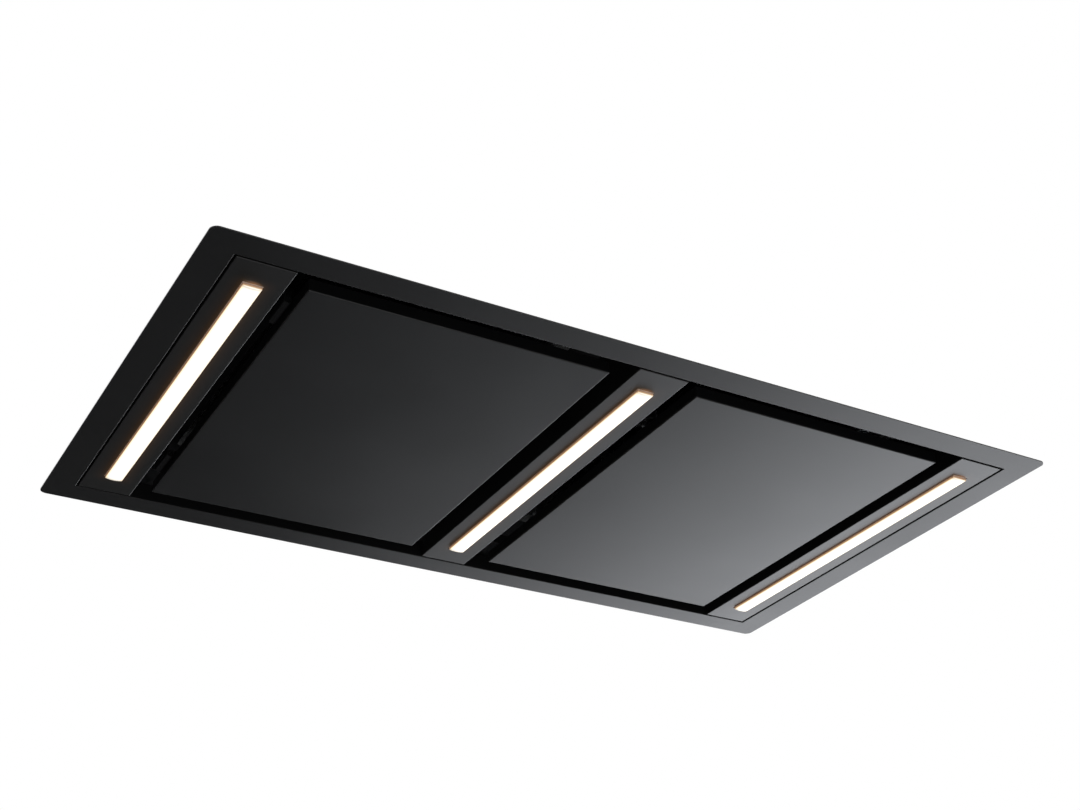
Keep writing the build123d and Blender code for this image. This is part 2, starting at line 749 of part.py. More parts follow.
def diamonds():
    """Rhombic openings of expanded metal, in two interleaved grids."""
    corners = [(mesh_diamond_x / 2, 0), (0, mesh_diamond_y / 2), (-mesh_diamond_x / 2, 0),
               (0, -mesh_diamond_y / 2)]
    for columns, rows in ((mesh_columns, mesh_rows), (mesh_columns - 1, mesh_rows - 1)):
        with GridLocations(mesh_pitch_x, mesh_pitch_y, columns, rows):
            Polygon(*corners, mode=Mode.SUBTRACT)


for side, s in sides.items():
    cx = s * filter_x
    # Folded frame: a lip that bears up against the deck, walls through it, and a return over the mesh.
    with BuildPart() as filter_frame:
        with BuildSketch(Plane.XY.offset(deck_height - filter_wall)):
            with Locations((cx, 0)):
                RectangleRounded(filter_length + 2 * filter_lip, filter_width + 2 * filter_lip, filter_lip)
            with Locations((cx + s * window_shift, 0)):
                Rectangle(window_length, window_width, mode=Mode.SUBTRACT)
        extrude(amount=filter_wall)
        with BuildSketch(Plane.XY.offset(deck_height)):
            with Locations((cx, 0)):
                Rectangle(filter_length, filter_width)
                Rectangle(filter_length - 2 * filter_wall, filter_width - 2 * filter_wall, mode=Mode.SUBTRACT)
            with Locations((cx - s * (filter_length - 2 * latch_bay + filter_wall) / 2, 0)):
                Rectangle(filter_wall, filter_width - 2 * filter_wall)
        extrude(amount=filter_depth)
        with BuildSketch(Plane.XY.offset(frame_top - filter_wall)):
            with Locations((cx, 0)):
                Rectangle(filter_length, filter_width)
                Rectangle(filter_length - 2 * filter_border, filter_width - 2 * filter_border,
                          mode=Mode.SUBTRACT)
        extrude(amount=filter_wall)
        # slots for the latch bolt and its stem
        with BuildSketch(Plane.YZ.offset(cx - s * filter_length / 2)):
            with Locations((0, latch_z + latch_thickness / 2)):
                Rectangle(latch_width + 2 * latch_clearance, latch_thickness + 2 * latch_clearance)
        extrude(amount=s * filter_wall, mode=Mode.SUBTRACT)
        with BuildSketch(Plane.XY.offset(deck_height - filter_wall)):
            with Locations((cx - s * (stem_place - latch_travel / 2), 0)):
                Rectangle(latch_stem + latch_travel + 2 * latch_clearance,
                          latch_stem_width + 2 * latch_clearance)
        extrude(amount=filter_wall, mode=Mode.SUBTRACT)
        # hooks on the far side rest over the deck
        with BuildSketch(Plane.XY.offset(latch_z)):
            with Locations(*[(cx + s * (filter_length + hook_reach) / 2, k * hook_pitch / 2) for k in (-1, 1)]):
                Rectangle(hook_reach, hook_width)
        extrude(amount=filter_wall)
    filter_frame.part.label = f"filter_frame_{side}"
    export_step(filter_frame.part, f"parts/filter_frame_{side}.step")

    # Filter core: an expanded facing sheet and a crimped layer above it.
    crimp_left = cx + s * mesh_shift - crimp_count * crimp_pitch / 2
    crimp_low = [(crimp_left + k * crimp_pitch / 2, crimp_base + crimp_rise * (k % 2))
                 for k in range(2 * crimp_count + 1)]
    crimp_high = [(x, z + mesh_sheet) for x, z in reversed(crimp_low)]
    with BuildPart() as filter_mesh:
        with BuildSketch(Plane.XY.offset(deck_height)):
            with Locations((cx + s * mesh_shift, 0)):
                Rectangle(mesh_length, mesh_width)
            with Locations((cx + s * window_shift, 0)):
                diamonds()
        extrude(amount=mesh_sheet)
        with BuildSketch(Plane.XZ):
            Polygon(*crimp_low, *crimp_high, align=None)
        extrude(amount=mesh_width / 2, both=True)
    filter_mesh.part.label = f"filter_mesh_{side}"
    export_step(filter_mesh.part, f"parts/filter_mesh_{side}.step")

    # Latch: a bolt over the deck's edge, a stem through the frame and a finger pull below it.
    with BuildPart() as filter_latch:
        with BuildSketch(Plane.XY.offset(latch_z)):
            with Locations((cx - s * (bolt_tip - latch_length / 2), 0)):
                RectangleRounded(latch_length, latch_width, panel_corner_r)
        extrude(amount=latch_thickness)
        with BuildSketch(Plane.XY.offset(pull_z)):
            with Locations((cx - s * stem_place, 0)):
                Rectangle(latch_stem, latch_stem_width)
        extrude(amount=latch_z - pull_z)
        with BuildSketch(Plane.XY.offset(pull_z)):
            with Locations((cx - s * (stem_place - latch_pull_length / 2 + latch_stem), 0)):
                RectangleRounded(latch_pull_length, latch_pull_width, latch_stem)
        extrude(amount=latch_thickness)
    filter_latch.part.label = f"filter_latch_{side}"
    export_step(filter_latch.part, f"parts/filter_latch_{side}.step")

# ---------------------------------------------------------------- blower

blower_axis = Axis((blower_x, blower_y, 0), (0, 0, 1))
blower_section = Plane(origin=(blower_x, blower_y, 0), x_dir=(1, 0, 0), z_dir=(0, -1, 0))


def blower_plane(z):
    """Horizontal plane at height z, centred on the impeller's axis."""
    return Plane(origin=(blower_x, blower_y, z), z_dir=(0, 0, 1))


def scroll_outline(grow, reach, nose_r):
    """Volute outline: quarter arcs round a small square, then a straight outlet; grow offsets it."""
    radii = [spiral_start_r + k * spiral_step + grow for k in range(4)]
    inner_x = tongue_x - grow
    start = degrees(acos((inner_x + half_step) / radii[0]))
    with BuildLine() as volute:
        first = CenterArc((-half_step, half_step), radii[0], start, 90 - start)
        CenterArc((-half_step, -half_step), radii[1], 90, 90)
        CenterArc((half_step, -half_step), radii[2], 180, 90)
        fourth = CenterArc((half_step, half_step), radii[3], 270, 90)
        outer = Line(fourth @ 1, (half_step + radii[3], reach))
        across = Line(outer @ 1, (inner_x, reach))
        Line(across @ 1, first @ 0)
    face = make_face(volute.edges())
    nose = face.vertices().sort_by_distance(first @ 0)[0]
    fillet(nose, nose_r)


# Volute: spiral wrap between two side plates with rims, and an inlet bell pressed into each plate.
with BuildPart() as blower_scroll:
    with BuildSketch(blower_plane(scroll_base)):
        scroll_outline(scroll_sheet, outlet_reach, tongue_r - scroll_sheet)
    extrude(amount=scroll_height)
    for z in (scroll_base, scroll_top - scroll_sheet):
        with BuildSketch(blower_plane(z)):
            scroll_outline(scroll_flange, outlet_reach, tongue_r - scroll_flange)
        extrude(amount=scroll_sheet)
    with BuildSketch(blower_plane(scroll_base + scroll_sheet)):
        scroll_outline(0, outlet_reach + scroll_sheet, tongue_r)
    extrude(amount=scroll_height - 2 * scroll_sheet, mode=Mode.SUBTRACT)
    with BuildSketch(blower_plane(scroll_base)):
        Circle(inlet_r + inlet_bell_r + scroll_sheet)
    extrude(amount=scroll_height, mode=Mode.SUBTRACT)
    for k in (-1, 1):
        bell_z = blower_mid + k * (scroll_height / 2 - inlet_bell_r)
        plate_z = blower_mid + k * (scroll_height - scroll_sheet) / 2
        with BuildSketch(blower_section):
            with Locations((inlet_r + inlet_bell_r, bell_z)):
                Circle(inlet_bell_r)
                Circle(inlet_bell_r - scroll_sheet, mode=Mode.SUBTRACT)
            with Locations((inlet_r + inlet_bell_r / 2, bell_z + k * inlet_bell_r / 2)):
                Rectangle(inlet_bell_r, inlet_bell_r, mode=Mode.INTERSECT)
            with Locations((inlet_r + inlet_bell_r + scroll_sheet, plate_z)):
                Rectangle(2 * scroll_sheet, scroll_sheet)
        revolve(axis=blower_axis)
    # mounting tabs up to the housing's top
    tab_r = inlet_r + inlet_bell_r + mount_foot + 2 * bracket_sheet
    with BuildSketch(blower_plane(scroll_top)):
        with PolarLocations(tab_r, 4, start_angle=45):
            Rectangle(bracket_sheet, mount_tab_width)
    extrude(amount=body_top_inner - scroll_top)
    with BuildSketch(blower_plane(scroll_top)):
        with PolarLocations(tab_r - mount_foot / 2, 4, start_angle=45):
            Rectangle(mount_foot, mount_tab_width)
    extrude(amount=bracket_sheet)
    with BuildSketch(blower_plane(body_top_inner - bracket_sheet)):
        with PolarLocations(tab_r + mount_foot / 2, 4, start_angle=45):
            Rectangle(mount_foot, mount_tab_width)
    extrude(amount=bracket_sheet)
blower_scroll.part.label = "blower_scroll"
export_step(blower_scroll.part, "parts/blower_scroll.step")

# Double-inlet impeller: forward-curved blades on both sides of a middle disc, bound by a ring at each end.
# The disc and its hub are one piece with the upper row; the lower row seats under the disc.
blade_in = Vector(impeller_inner_r + blade_bow / 2, 0)
blade_out = Vector(impeller_r - blade_thickness / 2, 0).rotate(Axis.Z, blade_sweep)
blade_bulge = (blade_in + blade_out) / 2 + Vector(0, -1).rotate(Axis.Z, blade_sweep / 2) * blade_bow
blade_skin = Vector(0, blade_thickness)
for name, k in {"impeller_lower": -1, "impeller": 1}.items():
    with BuildPart() as impeller_row:
        with BuildSketch(blower_plane(blower_mid + k * impeller_sheet / 2)):
            with BuildLine():
                back = ThreePointArc(blade_in, blade_bulge, blade_out)
                front = ThreePointArc(blade_in + blade_skin, blade_bulge + blade_skin, blade_out + blade_skin)
                Line(back @ 0, front @ 0)
                Line(back @ 1, front @ 1)
            blade = make_face(mode=Mode.PRIVATE)
            with PolarLocations(0, blade_count):
                add(blade)
        extrude(amount=k * (impeller_height - impeller_sheet) / 2)
        with BuildSketch(blower_plane(blower_mid + k * impeller_height / 2)):
            Circle(impeller_r)
            Circle(impeller_inner_r, mode=Mode.SUBTRACT)
        extrude(amount=-k * impeller_shroud)
        if name == "impeller":
            with BuildSketch(blower_plane(blower_mid - impeller_sheet / 2)):
                Circle(impeller_r)
            extrude(amount=impeller_sheet)
            with BuildSketch(blower_plane(blower_mid - hub_drop)):
                Circle(hub_r)
            extrude(amount=hub_height)
            with BuildSketch(blower_plane(blower_mid - hub_drop)):
                Circle(shaft_r + shaft_clearance)
            extrude(amount=hub_height, mode=Mode.SUBTRACT)
    impeller_row.part.label = name
    export_step(impeller_row.part, f"parts/{name}.step")

# Motor can with bearing seats, cooling slots and a bore for the shaft.
motor_base = blower_mid + motor_rise
motor_top = motor_base + motor_height
motor_mid = (motor_base + motor_top) / 2
seat_height = bearing_height + motor_wall
with BuildPart() as motor_housing:
    with BuildSketch(blower_plane(motor_base)):
        Circle(motor_r)
    extrude(amount=motor_height)
    fillet(motor_housing.edges().filter_by(GeomType.CIRCLE), motor_wall)
    with BuildSketch(blower_plane(motor_base + motor_wall)):
        Circle(motor_r - motor_wall)
    extrude(amount=motor_height - 2 * motor_wall, mode=Mode.SUBTRACT)
    for z in (motor_base + motor_wall / 2, motor_top - motor_wall / 2 - bearing_height):
        with BuildSketch(blower_plane(z)):
            Circle(bearing_r + motor_wall)
        extrude(amount=bearing_height)
    with BuildSketch(blower_plane(motor_base)):
        Circle(shaft_r + shaft_hole_gap)
    extrude(amount=motor_height, mode=Mode.SUBTRACT)
    for z in (motor_base + motor_wall, motor_top - motor_wall - bearing_height):
        with BuildSketch(blower_plane(z)):
            Circle(bearing_r + pin_clearance)
        extrude(amount=bearing_height, mode=Mode.SUBTRACT)
    for z in (motor_base + seat_height + motor_wall, motor_top - seat_height - 2 * motor_wall):
        with BuildSketch(blower_plane(z)):
            with PolarLocations(motor_r, 12):
                Rectangle(4 * motor_wall, 2 * motor_wall)
        extrude(amount=motor_wall, mode=Mode.SUBTRACT)
motor_housing.part.label = "motor_housing"
export_step(motor_housing.part, "parts/motor_housing.step")

# Stator core with winding slots.
with BuildPart() as motor_stator:
    with BuildSketch(blower_plane(motor_mid - stator_height / 2)):
        Circle(motor_r - motor_wall - pin_clearance)
        Circle(stator_bore_r, mode=Mode.SUBTRACT)
        with PolarLocations(stator_bore_r + motor_wall, 12):
            Rectangle(3 * motor_wall, 2 * motor_wall, mode=Mode.SUBTRACT)
    extrude(amount=stator_height)
motor_stator.part.label = "motor_stator"
export_step(motor_stator.part, "parts/motor_stator.step")

# Rotor core on its shaft, which reaches down through the impeller's hub.
with BuildPart() as motor_rotor:
    with BuildSketch(blower_plane(motor_mid - stator_height / 2)):
        Circle(stator_bore_r - rotor_gap)
    extrude(amount=stator_height)
    with BuildSketch(blower_plane(blower_mid - hub_drop - shaft_end)):
        Circle(shaft_r)
    extrude(amount=motor_top + motor_wall - blower_mid + hub_drop + shaft_end)
    chamfer(motor_rotor.faces().sort_by(Axis.Z)[0].edges(), shaft_chamfer)
motor_rotor.part.label = "motor_rotor"
export_step(motor_rotor.part, "parts/motor_rotor.step")

with BuildPart() as motor_bearings:
    for z in (motor_base + motor_wall, motor_top - motor_wall - bearing_height):
        with BuildSketch(blower_plane(z)):
            Circle(bearing_r)
            Circle(shaft_r + shaft_clearance, mode=Mode.SUBTRACT)
        extrude(amount=bearing_height)
motor_bearings.part.label = "motor_bearings"
export_step(motor_bearings.part, "parts/motor_bearings.step")

# Four-armed spider: a ring round the motor, arms over the inlet and cranked feet on the volute.
spider_z = scroll_top + inlet_bell_r
foot_r = bracket_foot_r
with BuildPart() as motor_bracket:
    with BuildSketch(blower_plane(spider_z)):
        Circle(motor_r + bracket_ring)
        with PolarLocations((motor_r + foot_r) / 2, 4):
            Rectangle(foot_r - motor_r, bracket_arm_width)
        Circle(motor_r + pin_clearance, mode=Mode.SUBTRACT)
    extrude(amount=bracket_sheet)
    with BuildSketch(blower_plane(scroll_top)):
        with PolarLocations(foot_r - bracket_sheet / 2, 4):
            Rectangle(bracket_sheet, bracket_arm_width)
    extrude(amount=spider_z - scroll_top + bracket_sheet)
    with BuildSketch(blower_plane(scroll_top)):
        with PolarLocations(foot_r + bracket_ring / 2, 4):
            Rectangle(bracket_ring, bracket_arm_width)
    extrude(amount=bracket_sheet)
motor_bracket.part.label = "motor_bracket"
export_step(motor_bracket.part, "parts/motor_bracket.step")

# ---------------------------------------------------------------- duct outlet

duct_start_y = scroll_end_y - duct_overlap
round_start_y = wall_y - collar_inside + collar_flange
round_end_y = wall_y - body_sheet - collar_flange
duct_width = outlet_width + 2 * (scroll_flange + duct_clearance)
duct_height = scroll_height + 2 * duct_clearance
round_r = collar_r + duct_clearance


def wall_plane(y):
    """Upright plane at distance y, centred on the outlet, looking along the duct."""
    return Plane(origin=(outlet_x, y, blower_mid), x_dir=(-1, 0, 0), z_dir=(0, 1, 0))


# Duct: a square sleeve over the volute's outlet that changes to a round sleeve over the collar.
with BuildPart() as outlet_duct:
    for grow, mode in ((duct_sheet, Mode.ADD), (0, Mode.SUBTRACT)):
        with BuildSketch(wall_plane(duct_start_y)):
            RectangleRounded(duct_width + 2 * grow, duct_height + 2 * grow, duct_corner_r + grow)
        extrude(amount=duct_overlap, mode=mode)
        with BuildSketch(wall_plane(scroll_end_y)):
            RectangleRounded(duct_width + 2 * grow, duct_height + 2 * grow, duct_corner_r + grow)
        with BuildSketch(wall_plane(round_start_y)):
            RectangleRounded(2 * (round_r + grow), 2 * (round_r + grow), round_r + grow - duct_round_flat)
        loft(mode=mode)
        with BuildSketch(wall_plane(round_start_y)):
            Circle(round_r + grow)
        extrude(amount=round_end_y - round_start_y, mode=mode)
outlet_duct.part.label = "outlet_duct"
export_step(outlet_duct.part, "parts/outlet_duct.step")

# Collar: a spigot through the wall with a flange outside it and a stop ledge for the damper.
with BuildPart() as outlet_collar:
    with BuildSketch(wall_plane(wall_y - collar_inside)):
        Circle(collar_r)
    extrude(amount=collar_inside + collar_length)
    with BuildSketch(wall_plane(wall_y)):
        Circle(collar_flange_r)
    extrude(amount=collar_flange)
    with BuildSketch(wall_plane(wall_y - collar_inside)):
        Circle(collar_r - collar_wall)
    extrude(amount=collar_inside + collar_length, mode=Mode.SUBTRACT)
    with BuildSketch(wall_plane(damper_y - damper_sheet / 2 - duct_clearance)):
        Circle(collar_r)
        Circle(collar_r - collar_wall - stop_ledge, mode=Mode.SUBTRACT)
    extrude(amount=-stop_ledge)
    with BuildSketch(Plane.XY.offset(blower_mid)):
        with Locations((outlet_x, damper_y)):
            Circle(damper_pin_r + pin_clearance)
    extrude(amount=collar_r, both=True, mode=Mode.SUBTRACT)
outlet_collar.part.label = "outlet_collar"
export_step(outlet_collar.part, "parts/outlet_collar.step")

with BuildPart() as damper_pin:
    with BuildSketch(Plane.XY.offset(blower_mid)):
        with Locations((outlet_x, damper_y)):
            Circle(damper_pin_r)
    extrude(amount=collar_r, both=True)
damper_pin.part.label = "damper_pin"
export_step(damper_pin.part, "parts/damper_pin.step")

# Damper flaps: half discs on alternate knuckles along one upright pin.
flap_r = collar_r - collar_wall - damper_clearance
band = 2 * (flap_r - 4 * damper_knuckle_r) / damper_bands
for first_band, (side, s) in enumerate(sides.items()):
    band_centres = [blower_mid + (k - (damper_bands - 1) / 2) * band
                    for k in range(first_band, damper_bands, 2)]
    with BuildPart() as damper_flap:
        with BuildSketch(wall_plane(damper_y)):
            Circle(flap_r)
            with Locations((-s * (damper_root + flap_r) / 2, 0)):
                Rectangle(flap_r - damper_root, 2 * flap_r, mode=Mode.INTERSECT)
        extrude(amount=damper_sheet / 2, both=True)
        for z in band_centres:
            with BuildSketch(Plane.XY.offset(z)):
                with Locations((outlet_x, damper_y)):
                    Circle(damper_knuckle_r)
                with Locations((outlet_x + s * (damper_root + damper_tab_overlap) / 2, damper_y)):
                    Rectangle(damper_root + damper_tab_overlap, damper_sheet)
            extrude(amount=(band - 2 * knuckle_gap) / 2, both=True)
        with BuildSketch(Plane.XY.offset(blower_mid)):
            with Locations((outlet_x, damper_y)):
                Circle(damper_pin_r + pin_clearance)
        extrude(amount=collar_r, both=True, mode=Mode.SUBTRACT)
    damper_flap.part.label = f"damper_flap_{side}"
    export_step(damper_flap.part, f"parts/damper_flap_{side}.step")

# ---------------------------------------------------------------- electrics

box_inner_length = box_length - 2 * box_wall
box_inner_width = box_width - 2 * box_wall
with BuildPart() as control_box:
    with BuildSketch(Plane.XY.offset(deck_top)):
        with Locations((box_x, box_y)):
            RectangleRounded(box_length, box_width, 2 * box_wall)
    extrude(amount=box_height - box_wall)
    with BuildSketch(Plane.XY.offset(deck_top + box_wall)):
        with Locations((box_x, box_y)):
            RectangleRounded(box_inner_length, box_inner_width, box_wall)
    extrude(amount=box_height, mode=Mode.SUBTRACT)
    with BuildSketch(Plane.XZ.offset(-(box_y - box_width / 2 - box_wall))):
        with Locations(*[(box_x + k * box_length / 4, deck_top + box_height / 2) for k in (-1, 0, 1)]):
            Circle(cable_hole_r)
    extrude(amount=-3 * box_wall, mode=Mode.SUBTRACT)
control_box.part.label = "control_box"
export_step(control_box.part, "parts/control_box.step")

with BuildPart() as control_box_lid:
    with BuildSketch(Plane.XY.offset(deck_top + box_height - box_wall)):
        with Locations((box_x, box_y)):
            RectangleRounded(box_length, box_width, 2 * box_wall)
    extrude(amount=box_wall)
    with BuildSketch(Plane.XY.offset(deck_top + box_height - box_wall)):
        with Locations((box_x, box_y)):
            RectangleRounded(box_inner_length - 2 * seam, box_inner_width - 2 * seam, box_wall)
            Rectangle(box_inner_length - 2 * seam - 2 * box_wall,
                      box_inner_width - 2 * seam - 2 * box_wall, mode=Mode.SUBTRACT)
    extrude(amount=-2 * box_wall)
    with BuildSketch(Plane.XY.offset(deck_top + box_height)):
        with Locations((box_x, box_y)):
            RectangleRounded(box_length - 2 * lid_step, box_width - 2 * lid_step, 2 * box_wall)
    extrude(amount=box_wall / 2)
control_box_lid.part.label = "control_box_lid"
export_step(control_box_lid.part, "parts/control_box_lid.step")

# Control board on pillars, with relays, transformer, capacitors and a terminal row.
board_z = deck_top + box_wall + board_standoff
board_top = board_z + board_thickness
with BuildPart() as control_board:
    with BuildSketch(Plane.XY.offset(board_z)):
        with Locations((box_x, box_y)):
            Rectangle(board_length, board_breadth)
    extrude(amount=board_thickness)
    with BuildSketch(Plane.XY.offset(deck_top + box_wall)):
        with Locations((box_x, box_y)):
            with GridLocations(board_length - 4 * pillar_r, board_breadth / 2 - 2 * pillar_r, 2, 3):
                Circle(pillar_r)
    extrude(amount=board_standoff)
    for part_x, part_y, length, width, height in (transformer, supply_filter, relay_a, relay_b, terminal_row):
        with BuildSketch(Plane.XY.offset(board_top)):
            with Locations((box_x + part_x, box_y + part_y)):
                Rectangle(length, width)
        extrude(amount=height)
    with BuildSketch(Plane.XY.offset(board_top)):
        with Locations((box_x, box_y + capacitor_y)):
            with GridLocations(capacitor_pitch, 1, 3, 1):
                Circle(capacitor_r)
    extrude(amount=capacitor_height)
control_board.part.label = "control_board"
export_step(control_board.part, "parts/control_board.step")

with BuildPart() as led_driver:
    with BuildSketch(Plane.XY.offset(deck_top)):
        with Locations((driver_x, driver_y)):
            RectangleRounded(driver_length, driver_width, 2 * driver_edge_r)
    extrude(amount=driver_height)
    fillet(led_driver.faces().sort_by(Axis.Z)[-1].edges(), driver_edge_r)
    with BuildSketch(Plane.XY.offset(deck_top)):
        with Locations(*[(driver_x, driver_y + k * (driver_width + driver_foot) / 2) for k in (-1, 1)]):
            Rectangle(driver_length / 2, driver_foot)
            Circle(screw_r + screw_clearance, mode=Mode.SUBTRACT)
    extrude(amount=driver_foot_sheet)
led_driver.part.label = "led_driver"
export_step(led_driver.part, "parts/led_driver.step")

# Cable gland in the left end: hex body and domed nut outside, thread through, locknut inside.
gland_face = -body_length / 2


def gland_plane(x):
    """Upright plane at distance x, centred on the gland, looking out of the housing."""
    return Plane(origin=(x, gland_y, gland_z), x_dir=(0, -1, 0), z_dir=(-1, 0, 0))


with BuildPart() as cable_gland:
    with BuildSketch(gland_plane(gland_face)):
        RegularPolygon(gland_flats / 2, 6, major_radius=False)
    extrude(amount=gland_hex)
    with BuildSketch(gland_plane(gland_face - gland_hex)):
        Circle(gland_flats / 2)
    extrude(amount=gland_dome)
    fillet(cable_gland.faces().sort_by(Axis.X)[0].edges(), gland_dome_r)
    with BuildSketch(gland_plane(gland_face)):
        Circle(gland_thread_r)
    extrude(amount=-2 * gland_hex)
    with BuildSketch(gland_plane(gland_face + body_sheet)):
        RegularPolygon(gland_flats / 2, 6, major_radius=False)
    extrude(amount=-gland_locknut)
    with BuildSketch(gland_plane(gland_face - gland_hex - gland_dome)):
        Circle(gland_bore_r)
    extrude(amount=-(3 * gland_hex + gland_dome), mode=Mode.SUBTRACT)
cable_gland.part.label = "cable_gland"
export_step(cable_gland.part, "parts/cable_gland.step")

# ---------------------------------------------------------------- hanging brackets

hanger_x = body_length / 2 - hanger_slot_inset
for end, sy in (("front", -1), ("rear", 1)):
    for side, s in sides.items():
        outer_face = s * (body_length / 2 + hanger_sheet)
        y = sy * hanger_pitch / 2
        # L-bracket with side gussets, a slot for the rod above and two slots for levelling.
        with BuildPart() as hanger_bracket:
            with BuildSketch(Plane.XZ.offset(-y)) as bracket_section:
                with Locations((outer_face - s * hanger_sheet / 2, (hanger_bottom + hanger_top) / 2)):
                    Rectangle(hanger_sheet, hanger_top - hanger_bottom)
                with Locations((outer_face - s * hanger_reach / 2, hanger_top - hanger_sheet / 2)):
                    Rectangle(hanger_reach, hanger_sheet)
            extrude(amount=hanger_width / 2, both=True)
            gusset = hanger_reach - hanger_slot_inset / 2
            corner = (outer_face - s * hanger_sheet, hanger_top - hanger_sheet)
            for k in (-1, 1):
                with BuildSketch(Plane.XZ.offset(-(y + k * (hanger_width - hanger_sheet) / 2))):
                    Polygon(corner, (corner[0] - s * gusset, corner[1]), (corner[0], corner[1] - gusset),
                            align=None)
                extrude(amount=hanger_sheet / 2, both=True)
            with BuildSketch(Plane.XY.offset(hanger_top)):
                with Locations((s * hanger_x, y)):
                    SlotOverall(hanger_slot_length, 2 * hanger_slot_r)
            extrude(amount=-hanger_sheet, mode=Mode.SUBTRACT)
            with BuildSketch(Plane.YZ.offset(outer_face)):
                with Locations(*[(y + k * hanger_screw_pitch, hanger_screw_z) for k in (-0.5, 0.5)]):
                    SlotOverall(hanger_adjust, 2 * (hanger_screw_r + screw_clearance), rotation=90)
            extrude(amount=-s * hanger_sheet, mode=Mode.SUBTRACT)
        hanger_bracket.part.label = f"hanger_bracket_{end}_{side}"
        export_step(hanger_bracket.part, f"parts/hanger_bracket_{end}_{side}.step")

# Hex bolts through each bracket's slots, with a nut inside the housing.
hanger_hex_r = hanger_hex_ratio * hanger_screw_r
with BuildPart() as bracket_screws:
    for s in sides.values():
        bolt_face = s * (body_length / 2 + hanger_sheet)
        with BuildSketch(Plane.YZ.offset(bolt_face)):
            with Locations(*hanger_screws):
                RegularPolygon(hanger_hex_r, 6, major_radius=False)
        extrude(amount=s * hanger_screw_r)
        with BuildSketch(Plane.YZ.offset(bolt_face)):
            with Locations(*hanger_screws):
                Circle(hanger_screw_r)
        extrude(amount=-s * (hanger_sheet + body_sheet + 3 * hanger_screw_r))
        with BuildSketch(Plane.YZ.offset(s * body_inner_length / 2)):
            with Locations(*hanger_screws):
                RegularPolygon(hanger_hex_r, 6, major_radius=False)
                Circle(hanger_screw_r + nut_clearance, mode=Mode.SUBTRACT)
        extrude(amount=-s * hanger_hex_r)
bracket_screws.part.label = "bracket_screws"
export_step(bracket_screws.part, "parts/bracket_screws.step")
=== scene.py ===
import math
import bmesh
import bpy
from mathutils import Matrix, Vector


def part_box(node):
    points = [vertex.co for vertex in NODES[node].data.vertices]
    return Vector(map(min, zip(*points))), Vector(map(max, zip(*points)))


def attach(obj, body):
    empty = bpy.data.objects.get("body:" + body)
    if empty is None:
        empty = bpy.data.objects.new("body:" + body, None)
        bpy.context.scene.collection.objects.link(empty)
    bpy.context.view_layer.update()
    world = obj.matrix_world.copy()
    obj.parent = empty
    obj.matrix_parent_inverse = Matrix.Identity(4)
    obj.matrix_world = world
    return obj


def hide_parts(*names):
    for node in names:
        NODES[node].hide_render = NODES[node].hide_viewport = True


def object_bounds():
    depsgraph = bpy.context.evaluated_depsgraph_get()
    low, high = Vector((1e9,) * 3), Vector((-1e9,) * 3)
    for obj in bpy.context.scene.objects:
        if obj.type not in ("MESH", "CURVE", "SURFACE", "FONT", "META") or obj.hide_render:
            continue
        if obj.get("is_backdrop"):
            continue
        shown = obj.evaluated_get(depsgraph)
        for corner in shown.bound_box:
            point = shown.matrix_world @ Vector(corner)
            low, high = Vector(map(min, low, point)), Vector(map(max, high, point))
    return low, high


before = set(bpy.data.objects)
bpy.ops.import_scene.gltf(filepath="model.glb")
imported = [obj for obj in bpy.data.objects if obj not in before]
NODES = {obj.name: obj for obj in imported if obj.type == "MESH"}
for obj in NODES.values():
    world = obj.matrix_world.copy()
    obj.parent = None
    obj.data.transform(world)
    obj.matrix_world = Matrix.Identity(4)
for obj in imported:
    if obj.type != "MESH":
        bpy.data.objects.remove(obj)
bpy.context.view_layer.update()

SIDES = ("left", "right")
PLACES = {"left": -0.52125, "middle": 0.0, "right": 0.52125}
CORNERS = ((-1, -1), (1, -1), (1, 1), (-1, 1))
scene = bpy.context.scene
scene.view_settings.view_transform = "Standard"

# ---------------------------------------------------------------- camera

CAMERA_PLACE = (-1.01039, -1.72817, -1.03292)
CAMERA_RIGHT = Vector((0.87028153, -0.49192158, -0.02496446))
CAMERA_DOWN = Vector((0.22544423, 0.44288244, -0.86777304))
CAMERA_AHEAD = Vector((0.4379326, 0.74957875, 0.49633329))
camera_data = bpy.data.cameras.new("camera")
camera_data.sensor_width = 36.0
camera_data.lens = 54.395
camera_data.clip_start = 0.05
camera_data.clip_end = 60.0
camera = bpy.data.objects.new("camera", camera_data)
scene.collection.objects.link(camera)
axes = Matrix((CAMERA_RIGHT, -CAMERA_DOWN, -CAMERA_AHEAD)).transposed().to_4x4()
camera.matrix_world = Matrix.Translation(CAMERA_PLACE) @ axes
scene.camera = camera

# ---------------------------------------------------------------- mesh helpers

SHARP_ANGLE = math.radians(32)
ON_AXIS = 1e-7


def add_mesh(name, verts, faces, body, material, smooth=True):
    """A new piece from plain vertex and face lists, riding on a body."""
    mesh = bpy.data.meshes.new(name)
    mesh.from_pydata([tuple(v) for v in verts], [], faces)
    mesh.validate()
    piece = bpy.data.objects.new(name, mesh)
    scene.collection.objects.link(piece)
    if smooth:
        mesh.shade_smooth()
        mesh.set_sharp_from_angle(angle=SHARP_ANGLE)
    mesh.materials.append(material)
    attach(piece, body)
    return piece


def turn_outward(mesh):
    """Turn every face of a closed mesh outward."""
    shell = bmesh.new()
    shell.from_mesh(mesh)
    bmesh.ops.recalc_face_normals(shell, faces=shell.faces)
    shell.to_mesh(mesh)
    shell.free()


